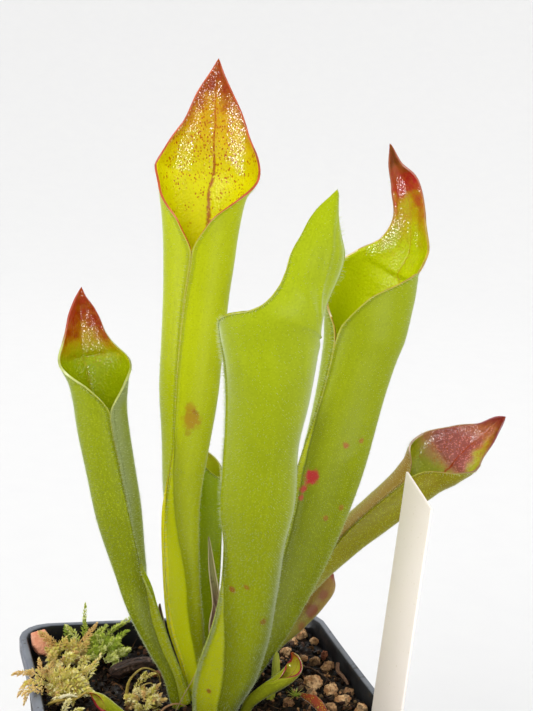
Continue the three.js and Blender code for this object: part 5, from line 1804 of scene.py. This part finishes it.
green.tuft((-19.0, 26.0, 72.2), (4.6, 5.6, 3.6), 90, (1.6, 3.4), 0.6)
stands_for(green.piece("green_moss", GREEN), "moss_green")

# %% Moss by the crown
INNER_PLUMES = [
    ((-15, 6.5, 70.6), (-12, 7.6, 75.6), 0.8, 0.5, 0.6), ((-13, 7.4, 73), (-9, 8.2, 74.6), 0.7, 1.2, 0.55),
    ((-12.4, 3.8, 70.6), (-9.3, 4.2, 74.2), 0.9, 0.2, 0.2),
    ((-16, 2.6, 70.2), (-17.4, 1, 73.6), 0.9, 0.2, 0.5),
    ((-14, -0.6, 70.2), (-12, -3.2, 73.6), 1, 0.4, 0.7), ((-11, 1.2, 70.2), (-8.8, -0.6, 73), 0.8, 0.3, 0.3),
]
inner = Moss(6)
for root, tip, thick, arch, tint in INNER_PLUMES:
    inner.plume(root, tip, thick, arch, tint)
inner.tuft((-13.0, 2.2, 70.6), (3.4, 4.2, 2.4), 42, (1.4, 3.0))
stands_for(inner.piece("crown_moss", STRAW), "moss_by_crown")

# %% [markdown]
# ## Roots, straws and fibres
# Dead strands lie all over the pot: a black root over the left rim, straws at the foot of the leaves, and
# hundreds of hair roots in the peat. A star of green needles grows by the red leaf. The long ones are
# swept along a path, the short ones are spikes.

# %% Roots and straws
STRANDS = [
    ("root_over_rim", "moss_tan", 0.42, rgb(70, 56, 46), rgb(26, 20, 18), [
        (-33.6, 8.0, 74.6), (-36.6, 6.6, 77.0), (-37.6, 4.6, 77.2), (-36.4, 2.8, 75.6), (-34.0, 2.0, 74.0),
        (-31.0, 1.4, 73.4)]),
    ("yellow_strand", "moss_tan", 0.5, rgb(214, 192, 96), rgb(160, 128, 50), [
        (-35.0, 0.0, 73.0), (-32.4, -1.4, 74.6), (-29.0, -1.2, 74.6), (-26.0, -0.2, 75.4),
        (-24.4, 0.2, 74.0)]),
    ("pale_root", "moss_by_crown", 0.35, rgb(214, 170, 124), rgb(150, 104, 70), [
        (-10.4, -2.4, 70.6), (-8.4, -2.8, 72.4), (-6.2, -2.6, 72.6), (-4.0, -2.4, 71.6)]),
    ("white_chip", "moss_tan", 0.55, rgb(255, 250, 214), rgb(236, 222, 170), [
        (-32.2, -0.9, 74.8), (-31.0, -1.0, 75.4), (-29.6, -1.0, 75.4), (-28.2, -1.0, 74.9)]),
    ("sheath_loop", "moss_by_crown", 0.4, rgb(196, 176, 84), rgb(120, 96, 40), [
        (-17.0, 3.4, 70.8), (-15.6, 5.2, 75.6), (-12.6, 5.8, 77.6), (-9.6, 5.4, 76.4), (-8.6, 4.6, 72.4)]),
    ("sheath_inner", "moss_by_crown", 0.3, rgb(214, 196, 110), rgb(140, 112, 54), [
        (-15.4, 2.2, 70.6), (-13.6, 3.6, 74.0), (-11.4, 4.0, 74.8), (-9.6, 3.0, 71.0)]),
    ("long_straw", "moss_by_crown", 0.2, rgb(206, 186, 132), rgb(150, 128, 80), [
        (-7.0, -3.4, 71.0), (-5.6, -3.8, 74.6), (-3.4, -3.2, 78.4), (-1.6, -2.2, 81.6)]),
    ("brown_sheath", "moss_by_crown", 0.9, rgb(150, 92, 44), rgb(84, 48, 28), [
        (-10.4, 8.4, 74.4), (-8.6, 8.6, 74.8), (-6.8, 8.4, 73.0), (-5.4, 8.2, 69.8)]),
    ("dark_root", "soil", 0.3, rgb(92, 70, 56), rgb(36, 26, 20), [
        (-24.4, 5.0, 71.2), (-21.0, 3.4, 71.6), (-19.6, 0.6, 71.0), (-20.4, -3.6, 70.6)]),
    ("root_by_grit", "soil", 0.35, rgb(104, 78, 60), rgb(48, 34, 26), [
        (19.0, 6.0, 71.6), (22.4, 4.4, 73.0), (24.6, 1.8, 72.8), (26.6, -3.2, 72.6)]),
    ("root_in_grit", "soil", 0.28, rgb(112, 86, 64), rgb(56, 40, 30), [
        (24.0, 12.4, 72.4), (27.6, 10.0, 73.4), (30.2, 6.0, 73.0), (31.4, 0.8, 72.8)]),
]


def tapered(thick):
    """The thickness of a strand from 0 to 1 along it: thinner to its end, and closed at both."""
    return lambda share: thick * (1 - 0.6 * share) * min(1, 15 * share, 15 * (1 - share))


for name, node, thick, light, dark, path in STRANDS:
    finish = bark_skin(name.replace("_", " "), light, dark)
    strand = swept(name, path, tapered(thick), 0.7, finish, rings=44, sides=12, ridges=0.12, count=3)
    stands_for(strand, node)

# %% Hair roots and needles
HAIR_ROOTS = 420
NEEDLES = 26
NEEDLE_STAR = [20.0 * MM, -4.9 * MM, 73.8 * MM]
rng = np.random.default_rng(12)


def scattered(count, low, high):
    """Random directions to all sides, which rise between low and high."""
    parts = [rng.uniform(-1, 1, count), rng.uniform(-1, 1, count), rng.uniform(low, high, count)]
    return np.stack(parts, axis=1)


root_places = np.array([placing.translation for placing in on_soil(HAIR_ROOTS, 33.5, (0.1, 0.2), 0.0)])
root_ways = scattered(HAIR_ROOTS, -0.02, 0.35)
hair_roots = spikes("hair_roots", root_places + [0, 0, 0.15 * MM], root_ways,
                    rng.uniform(1.5, 5.0, HAIR_ROOTS) * MM, 0.075 * MM,
                    bark_skin("hair roots", rgb(130, 98, 66), rgb(70, 48, 34)))
stands_for(hair_roots, "soil")
needle_ways = scattered(NEEDLES, -0.1, 0.9)
needles = spikes("needle_star", np.tile(NEEDLE_STAR, (NEEDLES, 1)), needle_ways,
                 rng.uniform(1.8, 3.6, NEEDLES) * MM, 0.1 * MM, GREEN)
stands_for(needles, "moss_green")

# %% [markdown]
# ## The crown
# The leaves grow from a brown crown that sits in the soil, where little of it shows. Its shape is right
# as it is, so its solid stays and only gets a fibrous finish.

# %% The crown
solid = bpy.data.objects["rhizome"]
solid.data.materials.clear()
solid.data.materials.append(bark_skin("crown", rgb(96, 66, 44), rgb(30, 20, 14)))
print("kept solid:", solid.name)

# %% [markdown]
# ## The finished box
# The box of the finished model is printed.

# %% The finished box
print("finished box", plain_box())
